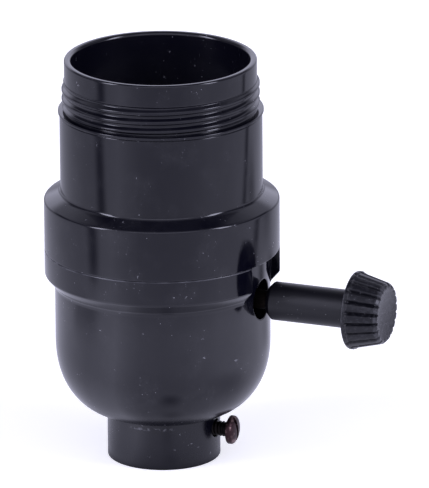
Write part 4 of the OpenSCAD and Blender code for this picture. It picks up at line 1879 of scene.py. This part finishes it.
@dataclass(frozen=True)
class LightTent:
    """A white tent of cloth round the object, seen in its gloss, and a pale floor.

    Attributes:
        front: Degrees round to the tent's front, where the camera looks in.
        tint: Colour of its light.
        walls: Brightness of its walls: degrees from the front, to the right, and brightness.
        table_mm: Distance from the object to which its table is shaded.
        rings: Its table's share of the walls' brightness: millimetres out, and share.
        beside: How much brighter the table is at the object's sides, near to it.
        gaps: Dark joints of the table's cloth: where one starts to the right, and how far ahead of
            the object, how much it runs ahead as it goes right, and its half width as a share.
        gap_dark: Share of the light that they take.
        roof: Brightness overhead.
        roof_front: What the camera's side of the roof has over that.
        backdrop: Brightness added behind the object, over the horizon.
        side_gap: Share of the light missing between its side walls and its roof.
        floor_glow: What the floor's white has over the light that falls on it.
        window: Brightness of the opening high over the camera.
        lamps: Upright lamps: degrees round, lowest and highest degrees up, half width, brightness.
        blots: Soft shadows on its table: millimetres right and ahead, radius, and share taken.
    """

    front: float = 22.155
    tint: Colour = (1.0, 1.0, 1.26)
    walls: tuple[tuple[float, float], ...] = (
        (-180, 0.5), (-150, 0.52), (-110, 0.6), (-80, 0.68), (-48, 1.0), (-34, 0.76), (-22, 0.6),
        (0, 0.54), (22, 0.58), (38, 0.66), (55, 0.76), (90, 0.72), (108, 0.62), (135, 0.54),
        (180, 0.5),
    )
    table_mm: float = 200.0
    rings: tuple[tuple[float, float], ...] = (
        (0, 0.3), (9.5, 0.35), (11.5, 0.8), (13, 0.85), (24, 1.2), (60, 1.45), (96, 1.6),
        (118, 1.25), (140, 1.08), (200, 1.0),
    )
    beside: float = 0.1
    gaps: tuple[tuple[float, float, float, float], ...] = (
        (-105.0, 54.0, -0.096, 0.085), (112.0, 10.0, -1.1, 0.07),
    )
    gap_dark: float = 0.75
    roof: float = 0.12
    roof_front: float = 0.35
    backdrop: float = 0.7
    side_gap: float = 0.75
    floor_glow: float = 0.55
    window: float = 1.2
    lamps: tuple[tuple[float, float, float, float, float], ...] = (
        (-66.0, 6.0, 44.0, 7.0, 6.5), (64.0, 6.0, 44.0, 7.0, 6.5),
    )
    blots: tuple[tuple[float, float, float, float], ...] = (
        (140.0, -77.0, 42.0, 0.5), (31.5, 12.8, 30.0, 0.35), (-98.0, 30.0, 20.0, 0.3),
        (-100.0, 16.0, 20.0, 0.3), (-100.0, 2.0, 19.0, 0.3), (-99.0, -12.0, 17.0, 0.3),
        (92.0, -62.0, 25.0, 0.75), (60.0, -52.0, 24.0, 0.35), (3.0, 27.0, 7.5, 0.5),
        (2.5, 15.0, 4.5, 0.3),
    )

    def hang(self) -> None:
        """Makes the world's light."""
        world = bpy.data.worlds.new("light_tent")
        world.use_nodes = True
        bpy.context.scene.world = world
        g = Graph(world.node_tree)
        x, y, z = g.parts(g.node("ShaderNodeTexCoord", output="Generated"))
        ahead, right, level = self._walls(g, x, y)
        up = (z - ahead.step(0.2, -0.3) * 0.16).step(0.4, 0.75)
        light = level * (1.0 - up) + up * (self.roof + ahead.step(0.0, 0.3) * self.roof_front)
        aside = right.abs().step(0.45, 0.65) * ahead.step(0.35, 0.15)
        light = light * (1.0 - z.step(0.02, 0.15) * z.step(0.62, 0.5) * aside * self.side_gap)
        behind = z.step(0.05, 0.2) * z.step(0.5, 0.38) * ahead.step(-0.5, -0.8)
        light = light + behind * self.backdrop
        over = z.angle_from(ahead) * (180 / math.pi)
        window = over.between(28.0, 46.0, 4.0) * right.abs().step(0.6, 0.4) * z.step(0.2, 0.4)
        light = light + window * self.window
        for lamp in self.lamps:
            light = light + self._lamp(ahead, right, z, *lamp)
        seen = g.node("ShaderNodeBackground", None, {"Color": WHITE, "Strength": 1.0})
        self._show(g, "ShaderNodeBackground", light, seen, "ShaderNodeOutputWorld")

    def _walls(self, g: Graph, x: Signal, y: Signal) -> tuple[Signal, Signal, Signal]:
        """Turns a place to the tent's front and reads the walls' brightness there.

        Args:
            g: The tree.
            x: The place along x.
            y: The place along y.

        Returns:
            The place ahead and to the right, and the brightness.
        """
        c, s = plan(1.0, self.front)
        ahead, right = x * s + y * -c, x * c + y * s
        turn = right.angle_from(ahead) / (2 * math.pi) + 0.5
        return ahead, right, self._ramp(g, turn, [(d / 360 + 0.5, b) for d, b in self.walls])

    @staticmethod
    def _ramp(g: Graph, place: Signal, marks: Sequence[tuple[float, float]]) -> Signal:
        """Brightness by place, from marks with a brightness of up to 2."""
        stops = [(at, brightness / 2) for at, brightness in marks]
        return g.parts(g.node("ShaderNodeValToRGB", {"stops": stops}, {"Fac": place}))[0] * 2.0

    @staticmethod
    def _lamp(
        ahead: Signal, right: Signal, z: Signal,
        degrees: float, low: float, high: float, width: float, brightness: float,
    ) -> Signal:
        """The light of one upright lamp.

        Args:
            ahead: The way that is looked, ahead.
            right: That way, to the right.
            z: That way, up.
            degrees: Degrees round to the lamp.
            low: Degrees up to its lower end.
            high: Degrees up to its upper end.
            width: Half its width in degrees.
            brightness: Its brightness.

        Returns:
            The light.
        """
        c, s = plan(1.0, degrees)
        toward, aside = right * s + ahead * c, right * c - ahead * s
        half, soft = math.tan(math.radians(width)), 0.05
        across = (aside.abs() / toward.higher(0.01)).step(half * 1.25, half * 0.75)
        low_z, high_z = math.sin(math.radians(low)) - soft, math.sin(math.radians(high)) + soft
        return across * toward.step(0.0, 0.1) * z.between(low_z, high_z, soft * 2) * brightness

    def _show(self, g: Graph, source: str, light: Signal, seen: Signal, end: str) -> None:
        """Ends a tree: its own light in the gloss, and a plainer shader to the camera.

        Args:
            g: The tree.
            source: The node that gives off the light.
            light: Brightness of the light.
            seen: What the camera sees.
            end: The output node.
        """
        scale = {"operation": "SCALE"}
        tinted = g.node("ShaderNodeVectorMath", scale, {0: self.tint, "Scale": light})
        gloss = g.node(source, None, {"Color": tinted, "Strength": 1.0})
        camera_ray = g.node("ShaderNodeLightPath", output="Is Camera Ray")
        both = g.node("ShaderNodeMixShader", None, {0: camera_ray, 1: gloss, 2: seen})
        g.node(end, None, {"Surface": both})

    def _shaded(self, s: Surface) -> Signal:
        """The table's brightness in the gloss, with its rings, blots and gaps.

        Args:
            s: The floor's tree.

        Returns:
            The brightness.
        """
        x, y, _ = s.parts(s.where)
        ahead, right, level = self._walls(s, x, y)
        out = from_middle(x, y)
        far = out / (self.table_mm * MM)
        level = level * self._ramp(s, far, [(mm / self.table_mm, b) for mm, b in self.rings])
        sideways = far.step(0.22, 0.14) * right.abs() / out.higher(1e-3)
        level = level * (1.0 + sideways * self.beside)
        for right_mm, ahead_mm, radius_mm, share in self.blots:
            from_blot = from_middle(right - right_mm * MM, ahead - ahead_mm * MM)
            level = level * (1.0 - from_blot.step(radius_mm * MM, 0.0) * share)
        for start, ahead_mm, run, half in self.gaps:
            out = right * math.copysign(1.0, start)
            middle = ahead_mm * MM + (right - start * MM) * run
            near = (ahead - middle).abs() / out.higher(1e-3)
            first = abs(start) * MM
            dark = near.step(half * 2.1, half * 0.1) * out.step(first, first + 0.02)
            level = level * (1.0 - dark * self.gap_dark)
        return level

    def lay_floor(self) -> None:
        """Makes the floor: white to the camera but for the object's shadow, shaded in the gloss."""
        s = Surface("tent_floor")
        cloth = s.node("ShaderNodeBsdfDiffuse", None, {"Color": (0.9, 0.9, 0.92)})
        glow = s.node("ShaderNodeEmission", None, {"Color": WHITE, "Strength": self.floor_glow})
        seen = s.node("ShaderNodeAddShader", None, {0: cloth, 1: glow})
        self._show(s, "ShaderNodeEmission", self._shaded(s), seen, "ShaderNodeOutputMaterial")
        solid, half = Solid(), 3000
        corners = [(-half, -half, 0), (half, -half, 0), (half, half, 0), (-half, half, 0)]
        solid.add(corners, [(0, 1, 2, 3)])
        floor = solid.object("tent_floor", s.material)


def dress_inner_nodes(shop: Workshop) -> None:
    """Gives every node that still shows its finish.

    Args:
        shop: What the pieces share.
    """
    slots = {entry["node"]: entry["material_slot"] for entry in frame["record"]["subparts"]}
    for name, node in frame["nodes"].items():
        if not node.hide_render:
            shop.wardrobe.dress(node, PAINTED_SHADE_SLOTS.get(name, slots[name]))
            LOG.info("%s: dressed in %s", name, slots[name])


def main() -> None:
    """Builds the pieces in order and lights them."""
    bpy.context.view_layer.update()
    Eye().place()
    tent = LightTent()
    tent.hang()
    tent.lay_floor()
    shop = Workshop()
    casing = (Shell(), Cap(), Knob(), SetScrew())
    inside = (LampShell(), ContactLeaf(), PipeBushing(), CaseScrews())
    for part in casing + inside:
        part.build(shop)
    dress_inner_nodes(shop)
    bpy.context.scene.view_settings.view_transform = "Standard"


if __name__ == "__main__":
    logging.basicConfig(level=logging.INFO, format="%(message)s")
    main()
